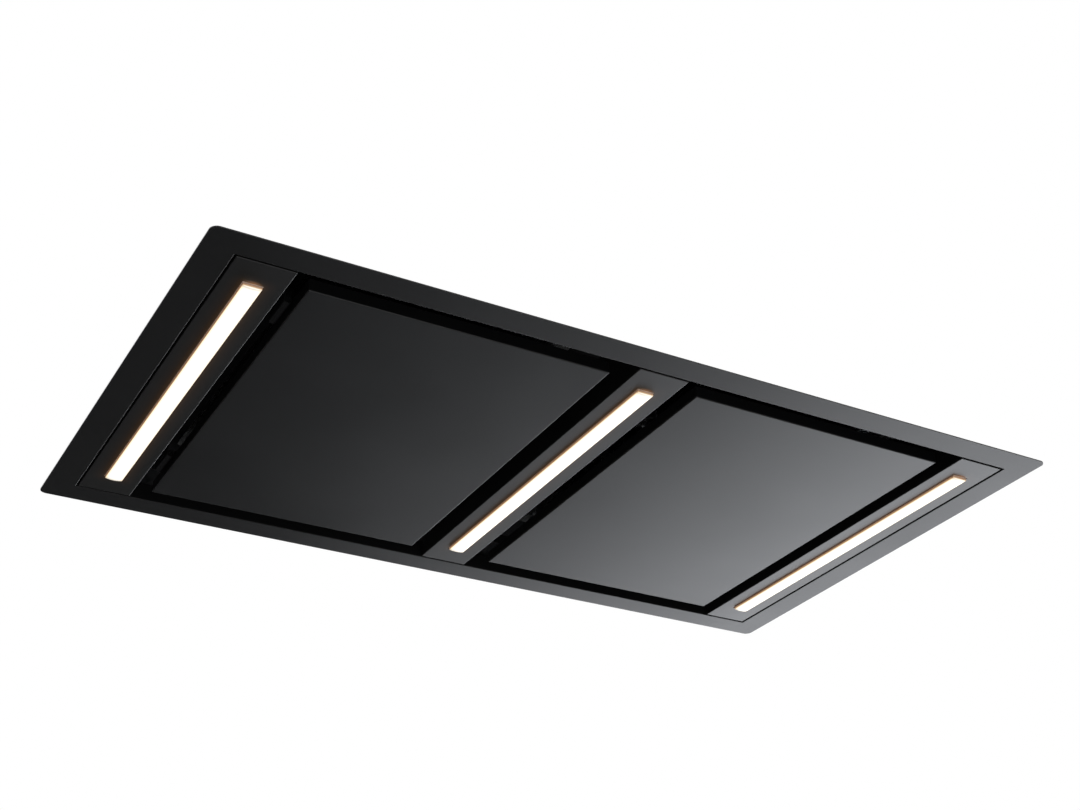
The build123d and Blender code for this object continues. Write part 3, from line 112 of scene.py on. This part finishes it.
def bar_between(verts, faces, a, b, across, thick):
    """A flat strand of metal from a to b, as a closed six-sided bar."""
    run = (b - a).normalized()
    side = run.cross(Vector((0, 0, 1))).normalized() * across / 2
    up = side.cross(run).normalized() * thick / 2
    first = len(verts)
    for end in (a, b):
        for sx, sz in CORNERS:
            verts.append(end + side * sx + up * sz)
    for k in range(4):
        m = (k + 1) % 4
        faces.append((first + k, first + m, first + 4 + m, first + 4 + k))
    faces.append((first + 3, first + 2, first + 1, first))
    faces.append((first + 4, first + 5, first + 6, first + 7))


def lattice(verts, faces, low, high, margin, pitch, strand, height):
    """Expanded-metal strands inside a box in plan; height(x) gives the level of each joint."""
    low_x, low_y = low.x + margin, low.y + margin
    high_x, high_y = high.x - margin, high.y - margin
    step_x, step_y = pitch[0] / 2, pitch[1] / 2
    nx = int((high_x - low_x) / step_x)
    ny = int((high_y - low_y) / step_y)
    x0 = (low_x + high_x - nx * step_x) / 2
    y0 = (low_y + high_y - ny * step_y) / 2

    def joint(i, j):
        x = x0 + i * step_x
        return Vector((x, y0 + j * step_y, height(x)))

    for i in range(nx):
        for j in range(ny + 1):
            if (i + j) % 2:
                continue
            for dj in (-1, 1):
                if 0 <= j + dj <= ny:
                    bar_between(verts, faces, joint(i, j), joint(i + 1, j + dj), *strand)


def lathe(verts, faces, profile, place, axis, count):
    """Closed solid of revolution: profile is (radius, distance along axis), ends on the axis."""
    axis = Vector(axis).normalized()
    u = axis.orthogonal().normalized()
    w = axis.cross(u)
    place = Vector(place)
    rings = []
    for r, d in profile:
        if r < ON_AXIS:
            rings.append([len(verts)])
            verts.append(place + axis * d)
        else:
            ring = []
            for k in range(count):
                t = 2 * math.pi * k / count
                ring.append(len(verts))
                verts.append(place + axis * d + (u * math.cos(t) + w * math.sin(t)) * r)
            rings.append(ring)
    for low, high in zip(rings, rings[1:]):
        for k in range(count):
            m = (k + 1) % count
            if len(low) == 1:
                faces.append((low[0], high[m], high[k]))
            elif len(high) == 1:
                faces.append((low[k], low[m], high[0]))
            else:
                faces.append((low[k], low[m], high[m], high[k]))


# ---------------------------------------------------------------- material helpers


class Paint:
    """A Principled material with a few shorthand ways of adding nodes."""

    def __init__(self, name, color, roughness, metallic=0.0, **sockets):
        self.material = bpy.data.materials.new(name)
        self.material.use_nodes = True
        self.tree = self.material.node_tree
        self.shader = self.tree.nodes["Principled BSDF"]
        self.set("Base Color", (*color, 1.0))
        self.set("Roughness", roughness)
        self.set("Metallic", metallic)
        for key, value in sockets.items():
            self.set(key.replace("_", " "), value)
        self.color = color
        self.roughness = roughness

    def set(self, socket, value):
        self.shader.inputs[socket].default_value = value

    def node(self, kind, **inputs):
        made = self.tree.nodes.new(kind)
        for key, value in inputs.items():
            made.inputs[key.replace("_", " ")].default_value = value
        return made

    def link(self, a, b):
        self.tree.links.new(a, b)

    def place(self):
        return self.node("ShaderNodeTexCoord").outputs["Object"]

    def noise(self, scale, detail, rough=0.5, stretch=None):
        source = self.place()
        if stretch is not None:
            mapping = self.node("ShaderNodeMapping", Scale=stretch)
            self.link(source, mapping.inputs["Vector"])
            source = mapping.outputs["Vector"]
        made = self.node("ShaderNodeTexNoise", Scale=scale, Detail=detail, Roughness=rough)
        self.link(source, made.inputs["Vector"])
        return made.outputs["Fac"]

    def math(self, operation, *values):
        """A Math node on numbers or sockets."""
        made = self.node("ShaderNodeMath")
        made.operation = operation
        for socket, value in zip(made.inputs, values):
            if isinstance(value, (int, float)):
                socket.default_value = value
            else:
                self.link(value, socket)
        return made.outputs[0]

    def length(self, a, b):
        """Length of the plane vector with sides a and b."""
        squares = [self.math("MULTIPLY", side, side) for side in (a, b)]
        return self.math("SQRT", self.math("ADD", *squares))

    def blend(self, kind, a, b):
        """Two colours put together by MULTIPLY or ADD."""
        made = self.node("ShaderNodeMix")
        made.data_type = "RGBA"
        made.blend_type = kind
        made.inputs["Factor"].default_value = 1.0
        self.link(a, made.inputs["A"])
        self.link(b, made.inputs["B"])
        return made.outputs["Result"]

    def span(self, value, low, high, to_low=0.0, to_high=1.0):
        made = self.node("ShaderNodeMapRange", From_Min=low, From_Max=high,
                         To_Min=to_low, To_Max=to_high)
        self.link(value, made.inputs["Value"])
        return made.outputs["Result"]

    def ramp(self, value, *stops):
        made = self.node("ShaderNodeValToRGB")
        elements = made.color_ramp.elements
        elements[0].position, elements[0].color = stops[0][0], (*stops[0][1], 1.0)
        elements[1].position, elements[1].color = stops[1][0], (*stops[1][1], 1.0)
        for position, color in stops[2:]:
            elements.new(position).color = (*color, 1.0)
        self.link(value, made.inputs["Fac"])
        return made.outputs["Color"]

    def vary_color(self, value, share, low=0.3, high=0.7):
        dark = tuple(c * (1 - share) for c in self.color)
        light = tuple(c * (1 + share) for c in self.color)
        self.link(self.ramp(value, (low, dark), (high, light)), self.shader.inputs["Base Color"])

    def vary_roughness(self, value, amount, low=0.3, high=0.7):
        self.link(self.span(value, low, high, self.roughness - amount, self.roughness + amount),
                  self.shader.inputs["Roughness"])

    def bump(self, value, strength, distance):
        made = self.node("ShaderNodeBump", Strength=strength, Distance=distance)
        self.link(value, made.inputs["Height"])
        self.link(made.outputs["Normal"], self.shader.inputs["Normal"])

    def shine(self, color):
        """Give off the colour that a socket brings."""
        self.link(color, self.shader.inputs["Emission Color"])
        self.set("Emission Strength", 1.0)


def powder_coat(name, color, roughness, level, grain=0.10):
    """Fine powder coat: a faint orange-peel grain and slow changes of sheen."""
    paint = Paint(name, color, roughness, Specular_IOR_Level=level)
    paint.vary_color(paint.noise(scale=9.0, detail=3.0), share=0.10)
    paint.vary_roughness(paint.noise(scale=5.0, detail=2.0), amount=0.02)
    paint.bump(paint.noise(scale=1400.0, detail=2.0, rough=0.6), grain, distance=0.00004)
    return paint


def sheet_metal(name, color, roughness, spangle, scale):
    """Galvanised sheet: pale crystal flakes of slightly different tone and sheen."""
    paint = Paint(name, color, roughness, metallic=1.0)
    cells = paint.node("ShaderNodeTexVoronoi", Scale=scale, Randomness=1.0)
    paint.link(paint.place(), cells.inputs["Vector"])
    tone = paint.node("ShaderNodeSeparateColor")
    paint.link(cells.outputs["Color"], tone.inputs["Color"])
    paint.vary_color(tone.outputs["Red"], spangle, low=0.0, high=1.0)
    paint.vary_roughness(tone.outputs["Green"], amount=0.07, low=0.0, high=1.0)
    paint.bump(paint.noise(scale=420.0, detail=3.0), strength=0.06, distance=0.0001)
    return paint


def brushed(name, color, roughness, stretch):
    """Metal with fine lines along one direction."""
    paint = Paint(name, color, roughness, metallic=1.0)
    lines = paint.noise(scale=60.0, detail=4.0, rough=0.7, stretch=stretch)
    paint.vary_color(lines, share=0.10)
    paint.vary_roughness(lines, amount=0.08)
    paint.bump(lines, strength=0.12, distance=0.00005)
    return paint


def moulded(name, color, roughness, grain=0.15, scale=900.0):
    """Moulded plastic with a fine spark-eroded grain."""
    paint = Paint(name, color, roughness)
    paint.vary_color(paint.noise(scale=14.0, detail=3.0), share=0.06)
    paint.vary_roughness(paint.noise(scale=30.0, detail=3.0), amount=0.05)
    paint.bump(paint.noise(scale, detail=2.0), grain, distance=0.00008)
    return paint


def plated(name, color, roughness):
    """Bright plated steel with a slight cloudiness."""
    paint = Paint(name, color, roughness, metallic=1.0)
    paint.vary_color(paint.noise(scale=180.0, detail=3.0), share=0.10)
    paint.vary_roughness(paint.noise(scale=240.0, detail=3.0), amount=0.06)
    return paint


# ---------------------------------------------------------------- lamp materials

FACE_Z = -0.0035
LENS_HALF_WIDTH = 0.0115
LENS_HALF_LENGTH = 0.2625
LENS_WALL = 0.0032
SIDE_FADE = 0.006
END_FADE = 0.016
# painted glow on the black bars: how far the warm light painted round each lens reaches, and where the
# brighter light painted at each lens's near end starts, ends and narrows
PAINTED_SPILL_REACH = 0.018
PAINTED_LEAK_START = 0.0015
PAINTED_LEAK_END = 0.0085
PAINTED_LEAK_NARROWING = 0.7
BAR_SHEEN = 0.74


def lens_edge_distance(paint, x):
    """Distances in metres inside the lens outline along x and y, and the coordinates themselves."""
    split = paint.node("ShaderNodeSeparateXYZ")
    paint.link(paint.place(), split.inputs["Vector"])
    off_middle = paint.math("ABSOLUTE", paint.math("SUBTRACT", split.outputs["X"], x))
    dx = paint.math("SUBTRACT", LENS_HALF_WIDTH, off_middle)
    dy = paint.math("SUBTRACT", LENS_HALF_LENGTH, paint.math("ABSOLUTE", split.outputs["Y"]))
    return dx, dy, split.outputs


def lens_material(place, x):
    """Opal lens lit from behind: white core, cream rim, duller ends and walls that darken upwards."""
    paint = Paint(f"opal_lens_{place}", (0.80, 0.76, 0.68), 0.32)
    dx, dy, spot = lens_edge_distance(paint, x)
    side = paint.ramp(paint.span(dx, 0.0, SIDE_FADE),
                      (0.0, (1.0, 0.90, 0.70)), (0.16, (0.94, 0.80, 0.58)),
                      (0.28, (1.0, 0.91, 0.72)), (0.50, (1.0, 0.97, 0.88)), (0.8, (1.0, 1.0, 0.98)))
    end = paint.ramp(paint.span(dy, 0.0, END_FADE),
                     (0.0, (0.92, 0.86, 0.78)), (0.08, (0.46, 0.41, 0.36)),
                     (0.17, (0.74, 0.69, 0.60)), (0.36, (1.0, 0.96, 0.86)), (0.7, (1.0, 1.0, 1.0)))
    wall = paint.ramp(paint.span(spot["Z"], FACE_Z - LENS_WALL, FACE_Z),
                      (0.0, (1.0, 1.0, 1.0)), (0.10, (0.86, 0.74, 0.56)),
                      (0.28, (0.42, 0.25, 0.11)), (0.75, (0.20, 0.085, 0.026)),
                      (1.0, (0.05, 0.015, 0.004)))
    paint.shine(paint.blend("MULTIPLY", paint.blend("MULTIPLY", side, end), wall))
    return paint.material


def bar_material(place, x):
    """Black bar with a painted glow: warm lamp light painted as emission close round the lens, and brighter
    painted light at the lens's near end.
    """
    paint = powder_coat(f"black_bar_{place}", (0.0105, 0.0102, 0.0100), 0.36, BAR_SHEEN)
    dx, dy, spot = lens_edge_distance(paint, x)
    out = paint.math("MAXIMUM", paint.math("MULTIPLY", dx, -1.0), 0.0)
    beyond = paint.math("MAXIMUM", paint.math("MULTIPLY", dy, -1.0), 0.0)
    # painted light: the lamp's warm glow on the bar, painted as emission that fades out from the lens edge
    painted_spill = paint.ramp(paint.span(paint.length(out, beyond), 0.0, PAINTED_SPILL_REACH),
                       (0.0, (0.040, 0.017, 0.005)), (0.15, (0.020, 0.009, 0.0025)),
                       (0.45, (0.006, 0.0026, 0.0008)), (1.0, (0.0, 0.0, 0.0)))
    # painted light: a brighter warm patch painted as emission at the lens's near end
    across = paint.math("MULTIPLY", paint.math("SUBTRACT", spot["X"], x), PAINTED_LEAK_NARROWING)
    along = paint.math("ADD", spot["Y"], LENS_HALF_LENGTH)
    painted_leak = paint.ramp(paint.span(paint.length(across, along), PAINTED_LEAK_START, PAINTED_LEAK_END),
                      (0.0, (0.34, 0.13, 0.035)), (0.35, (0.10, 0.036, 0.010)),
                      (1.0, (0.0, 0.0, 0.0)))
    paint.shine(paint.blend("ADD", painted_spill, painted_leak))
    return paint.material


# ---------------------------------------------------------------- other materials

frame_black = powder_coat("black_frame", (0.0095, 0.0096, 0.0099), 0.35, level=0.46).material
panel_black = powder_coat("black_panel", (0.0110, 0.0113, 0.0120), 0.33, level=0.52, grain=0.04).material
deck_black = powder_coat("deck_black", (0.016, 0.016, 0.017), 0.55, level=0.3, grain=0.2).material
# painted shade: the hinge hardware is coloured near-black so that it stays as dark as the shaded gap round
# the panels, darker than its zinc-plated steel
hinge_painted_shade = powder_coat("hinge_painted_shade", (0.010, 0.010, 0.0105), 0.40, level=0.40, grain=0.2).material
galvanised = sheet_metal("galvanised", (0.56, 0.58, 0.60), 0.34, spangle=0.11, scale=95.0).material
bracket_steel = sheet_metal("bracket_steel", (0.50, 0.52, 0.54), 0.38, spangle=0.10, scale=120.0).material
impeller_metal = sheet_metal("impeller_metal", (0.56, 0.58, 0.60), 0.30, spangle=0.08, scale=90.0).material
hinge_steel = brushed("hinge_steel", (0.46, 0.47, 0.48), 0.34, stretch=(1.0, 14.0, 1.0)).material
stainless = brushed("stainless_filter", (0.60, 0.60, 0.59), 0.28, stretch=(14.0, 1.0, 1.0)).material
mesh_metal = brushed("mesh_metal", (0.70, 0.71, 0.72), 0.36, stretch=(1.0, 6.0, 1.0)).material
extruded = brushed("extruded_aluminium", (0.76, 0.77, 0.78), 0.33, stretch=(1.0, 0.05, 1.0)).material
damper_metal = brushed("damper_aluminium", (0.72, 0.73, 0.74), 0.35, stretch=(1.0, 1.0, 12.0)).material
core = brushed("motor_core", (0.20, 0.18, 0.17), 0.5, stretch=(1.0, 1.0, 40.0)).material
cast = moulded("motor_casting", (0.36, 0.37, 0.38), 0.5, grain=0.5, scale=420.0)
cast.set("Metallic", 0.85)
bearing = plated("bearing_steel", (0.70, 0.70, 0.71), 0.16).material
zinc = plated("zinc_fastener", (0.64, 0.65, 0.66), 0.24).material
latch_black = moulded("latch_black", (0.022, 0.022, 0.023), 0.48).material
gland_black = moulded("gland_black", (0.024, 0.024, 0.025), 0.42).material
box_grey = moulded("box_grey", (0.34, 0.35, 0.36), 0.52).material
driver_white = moulded("driver_white", (0.78, 0.78, 0.76), 0.46).material
board_green = moulded("board_green", (0.025, 0.15, 0.065), 0.35, grain=0.25, scale=260.0).material
foam = moulded("seal_foam", (0.020, 0.020, 0.021), 0.9, grain=0.9, scale=520.0).material
light_board = moulded("light_board", (0.86, 0.86, 0.84), 0.4, grain=0.1).material

dress = {
    "flange_frame": frame_black, "flange_gasket": foam, "filter_deck": deck_black,
    "housing_wrapper": galvanised, "housing_end_left": galvanised, "housing_end_right": galvanised,
    "blower_scroll": galvanised, "outlet_duct": galvanised, "outlet_collar": galvanised,
    "motor_bracket": bracket_steel, "impeller": impeller_metal, "impeller_lower": impeller_metal,
    "motor_housing": cast.material, "motor_stator": core, "motor_rotor": core,
    "motor_bearings": bearing, "damper_pin": hinge_steel, "hinge_brackets": hinge_painted_shade,
    "hinge_pins": bearing, "panel_catches": hinge_steel, "lip_nuts": zinc, "bracket_screws": zinc,
    "chassis_screws": zinc, "control_box": box_grey, "control_box_lid": box_grey,
    "control_board": board_green, "led_driver": driver_white, "cable_gland": gland_black}
for side in SIDES:
    dress[f"panel_tray_{side}"] = panel_black
    dress[f"panel_backing_{side}"] = deck_black
    dress[f"panel_hinge_{side}"] = hinge_painted_shade
    dress[f"panel_striker_{side}"] = hinge_steel
    dress[f"filter_frame_{side}"] = stainless
    dress[f"filter_mesh_{side}"] = mesh_metal
    dress[f"filter_latch_{side}"] = latch_black
    dress[f"damper_flap_{side}"] = damper_metal
    for end in ("front", "rear"):
        dress[f"hanger_bracket_{end}_{side}"] = bracket_steel
for place, x in PLACES.items():
    dress[f"light_bar_{place}"] = bar_material(place, x)
    dress[f"diffuser_{place}"] = lens_material(place, x)
    dress[f"led_tray_{place}"] = extruded
    dress[f"led_strip_{place}"] = light_board
for name, node in NODES.items():
    node.data.materials.clear()
    node.data.materials.append(dress[name])

# ---------------------------------------------------------------- lens covers

LENS_CROWN = 0.0012
LENS_SEAT = 0.0011
LENS_ROUND = 0.0008
LEDGE_REACH = 0.0045
LEDGE_Z = (-0.0023, -0.0003)
EDGE_STEPS = 4
CROWN_STEPS = 12


def lens_cover(place, x):
    """Opal cover standing proud of the bar: rounded long edges, a low crown and its hidden ledge."""
    flat = LENS_HALF_WIDTH - LENS_ROUND
    half = [(flat * k / CROWN_STEPS, LENS_WALL + LENS_CROWN * (1 - (k / CROWN_STEPS) ** 2))
            for k in range(CROWN_STEPS + 1)]
    half += [(flat + LENS_ROUND * math.sin(t), LENS_WALL - LENS_ROUND * (1 - math.cos(t)))
             for t in (math.pi / 2 * k / EDGE_STEPS for k in range(1, EDGE_STEPS + 1))]
    half.append((LENS_HALF_WIDTH, -LENS_SEAT))
    section = [(-u, drop) for u, drop in reversed(half)] + half[1:]
    ledge_x, ledge_y = LENS_HALF_WIDTH + LEDGE_REACH, LENS_HALF_LENGTH + LEDGE_REACH
    verts = [(x + sx * ledge_x, sy * ledge_y, z) for z in LEDGE_Z for sx, sy in CORNERS]
    faces = [(k, (k + 1) % 4, 4 + (k + 1) % 4, 4 + k) for k in range(4)]
    faces += [(0, 1, 2, 3), (7, 6, 5, 4)]
    first, count = len(verts), len(section)
    trim_length = LENS_ROUND / 2
    rings = ((-LENS_HALF_LENGTH, trim_length), (-LENS_HALF_LENGTH + trim_length, 0.0),
             (LENS_HALF_LENGTH - trim_length, 0.0), (LENS_HALF_LENGTH, trim_length))
    for y, trim in rings:
        verts += [(x + u, y, FACE_Z - (drop - trim if drop > 0 else drop)) for u, drop in section]
    for ring in range(len(rings) - 1):
        for k in range(count):
            a, b = first + ring * count + k, first + ring * count + (k + 1) % count
            faces.append((a, b, b + count, a + count))
    faces.append(tuple(range(first, first + count)))
    last = first + (len(rings) - 1) * count
    faces.append(tuple(reversed(range(last, last + count))))
    cover = add_mesh(f"lens_cover_{place}", verts, faces, "housing",
                     dress[f"diffuser_{place}"])
    turn_outward(cover.data)
    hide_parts(f"diffuser_{place}")


for place, x in PLACES.items():
    lens_cover(place, x)

# ---------------------------------------------------------------- filter cores

CORE_LOW_Z = 0.0620
CORE_HIGH_Z = 0.0742
CORE_MIDDLE_Z = (CORE_LOW_Z + CORE_HIGH_Z) / 2
FACE_LOW_Z = CORE_LOW_Z + 0.0005
FACE_HIGH_Z = CORE_HIGH_Z - 0.0008
FACE_MARGIN = 0.002
FACE_PITCH = (0.016, 0.008)
FACE_STRAND = (0.0012, 0.0007)
WAVE_MARGIN = 0.003
WAVE_PITCH = (0.008, 0.014)
WAVE_STRAND = (0.0016, 0.0006)
WAVE_HEIGHT = 0.0040
WAVE_LENGTH = 0.016
for side in SIDES:
    low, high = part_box(f"filter_mesh_{side}")
    middle = (low.x + high.x) / 2
    verts, faces = [], []
    lattice(verts, faces, low, high, FACE_MARGIN, FACE_PITCH, FACE_STRAND, lambda x: FACE_LOW_Z)
    lattice(verts, faces, low, high, WAVE_MARGIN, WAVE_PITCH, WAVE_STRAND,
            lambda x: CORE_MIDDLE_Z + WAVE_HEIGHT * math.sin((x - middle) * 2 * math.pi / WAVE_LENGTH))
    lattice(verts, faces, low, high, FACE_MARGIN, FACE_PITCH, FACE_STRAND, lambda x: FACE_HIGH_Z)
    core_piece = add_mesh(f"filter_core_{side}", verts, faces, "housing",
                          mesh_metal, smooth=False)
    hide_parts(f"filter_mesh_{side}")

# ---------------------------------------------------------------- rivets along the housing's folded edges

RIVET = [(0.0, 0.0011), (0.0012, 0.0010), (0.0021, 0.0006), (0.0026, 0.0), (0.0014, -0.0006), (0.0, -0.0006)]
RIVET_SIDES = 14
RIVET_X = 0.5555
RIVET_WALL_Y = 0.31295
RIVET_TOP_Z = 0.290
WALL_RIVETS_Z = [0.085 + k * 0.046 for k in range(5)]
TOP_RIVETS_Y = [-0.285 + k * 0.095 for k in range(7)]
verts, faces = [], []
for s in (-1, 1):
    for z in WALL_RIVETS_Z:
        for x in (-RIVET_X, RIVET_X):
            lathe(verts, faces, RIVET, (x, s * RIVET_WALL_Y, z), (0, s, 0), RIVET_SIDES)
    for y in TOP_RIVETS_Y:
        lathe(verts, faces, RIVET, (s * RIVET_X, y, RIVET_TOP_Z), (0, 0, 1), RIVET_SIDES)
add_mesh("housing_rivets", verts, faces, "housing", zinc)

# ---------------------------------------------------------------- stage

CEILING_HALF = (1.35, 1.15)
CUT_HALF = (0.585, 0.335)
CEILING_Z = 0.0006
CEILING_COLOR = (0.85, 0.85, 0.85, 1.0)
FLOOR_HALF = 40.0
FLOOR_Z = -3.3
FLOOR_COLOR = (0.02, 0.02, 0.02, 1.0)
AMBIENT_COLOR = (0.80, 0.81, 0.83, 1.0)
AMBIENT_STRENGTH = 0.75


def stage_piece(name, verts, faces, material_name, color, roughness):
    """A plain surface of the studio, with its material's node tree."""
    mesh = bpy.data.meshes.new(name)
    mesh.from_pydata(verts, [], faces)
    piece = bpy.data.objects.new(name, mesh)
    scene.collection.objects.link(piece)
    material = bpy.data.materials.new(material_name)
    material.use_nodes = True
    shader = material.node_tree.nodes["Principled BSDF"]
    shader.inputs["Base Color"].default_value = color
    shader.inputs["Roughness"].default_value = roughness
    mesh.materials.append(material)
    return piece, material.node_tree


def show_when_seen(tree, plain, seen, surface):
    """Show one shader to camera, glossy and transmission rays, and the plain one to all others."""
    path = tree.nodes.new("ShaderNodeLightPath")
    first = tree.nodes.new("ShaderNodeMath")
    first.operation = "MAXIMUM"
    tree.links.new(path.outputs["Is Camera Ray"], first.inputs[0])
    tree.links.new(path.outputs["Is Glossy Ray"], first.inputs[1])
    second = tree.nodes.new("ShaderNodeMath")
    second.operation = "MAXIMUM"
    tree.links.new(first.outputs[0], second.inputs[0])
    tree.links.new(path.outputs["Is Transmission Ray"], second.inputs[1])
    mix = tree.nodes.new("ShaderNodeMixShader")
    tree.links.new(second.outputs[0], mix.inputs["Fac"])
    tree.links.new(plain.outputs[0], mix.inputs[1])
    tree.links.new(seen.outputs[0], mix.inputs[2])
    tree.links.new(mix.outputs[0], surface)


# the ceiling round the hood, just above the gasket
ceiling_verts = [(sx * hx, sy * hy, CEILING_Z) for hx, hy in (CUT_HALF, CEILING_HALF)
                 for sx, sy in CORNERS]
ceiling_faces = [(k, (k + 1) % 4, 4 + (k + 1) % 4, 4 + k) for k in range(4)]
ceiling, tree = stage_piece("ceiling", ceiling_verts, ceiling_faces, "ceiling_white", CEILING_COLOR, 0.9)
ceiling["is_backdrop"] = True
glow = tree.nodes.new("ShaderNodeEmission")
glow.inputs["Strength"].default_value = 1.0
show_when_seen(tree, tree.nodes["Principled BSDF"], glow, tree.nodes["Material Output"].inputs["Surface"])

world = bpy.data.worlds.new("studio")
scene.world = world
world.use_nodes = True
tree = world.node_tree
tree.nodes.clear()
ambient = tree.nodes.new("ShaderNodeBackground")
ambient.inputs["Color"].default_value = AMBIENT_COLOR
ambient.inputs["Strength"].default_value = AMBIENT_STRENGTH
backdrop = tree.nodes.new("ShaderNodeBackground")
backdrop.inputs["Color"].default_value = (1.0, 1.0, 1.0, 1.0)
show_when_seen(tree, ambient, backdrop, tree.nodes.new("ShaderNodeOutputWorld").inputs["Surface"])

# a dark studio floor far below, which the black faces reflect
floor_verts = [(sx * FLOOR_HALF, sy * FLOOR_HALF, FLOOR_Z) for sx, sy in CORNERS]
floor, tree = stage_piece("studio_floor", floor_verts, [(0, 1, 2, 3)], "studio_floor_dark", FLOOR_COLOR, 1.0)
floor.visible_camera = False
floor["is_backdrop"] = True

# ---------------------------------------------------------------- light


def soft_light(name, place, target, along, size, radiance, color=(1.0, 1.0, 1.0)):
    """Rectangular lamp at place, facing target, its first side along a direction."""
    data = bpy.data.lights.new(name, "AREA")
    data.shape = "RECTANGLE"
    data.size, data.size_y = size
    data.energy = radiance * math.pi * size[0] * size[1]
    data.color = color
    lamp = bpy.data.objects.new(name, data)
    scene.collection.objects.link(lamp)
    back = (Vector(place) - Vector(target)).normalized()
    side = (Vector(along) - back * back.dot(Vector(along))).normalized()
    turn = Matrix((side, back.cross(side), back)).transposed().to_4x4()
    lamp.matrix_world = Matrix.Translation(place) @ turn
    lamp.visible_camera = False


# a long low strip beside the hood, which the black faces mirror more and more towards its right end
STRIP_PLACE = (3.0, 4.0, -1.12)
STRIP_TARGET = (0.0, 4.0, -1.12)
STRIP_RISE = math.radians(5.5)
soft_light("wall_strip", STRIP_PLACE, STRIP_TARGET, (0.0, math.cos(STRIP_RISE), math.sin(STRIP_RISE)),
           size=(9.0, 1.7), radiance=3.1, color=(0.93, 0.955, 1.0))
soft_light("top_fill", (-1.5, -2.5, 3.2), (0.0, 0.0, 0.2), (1.0, 0.0, 0.0),
           size=(2.5, 2.5), radiance=3.0)
soft_light("floor_fill", (0.0, -1.6, -3.1), (0.0, -1.6, 0.0), (1.0, 0.0, 0.0),
           size=(5.0, 3.0), radiance=1.0)

low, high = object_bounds()
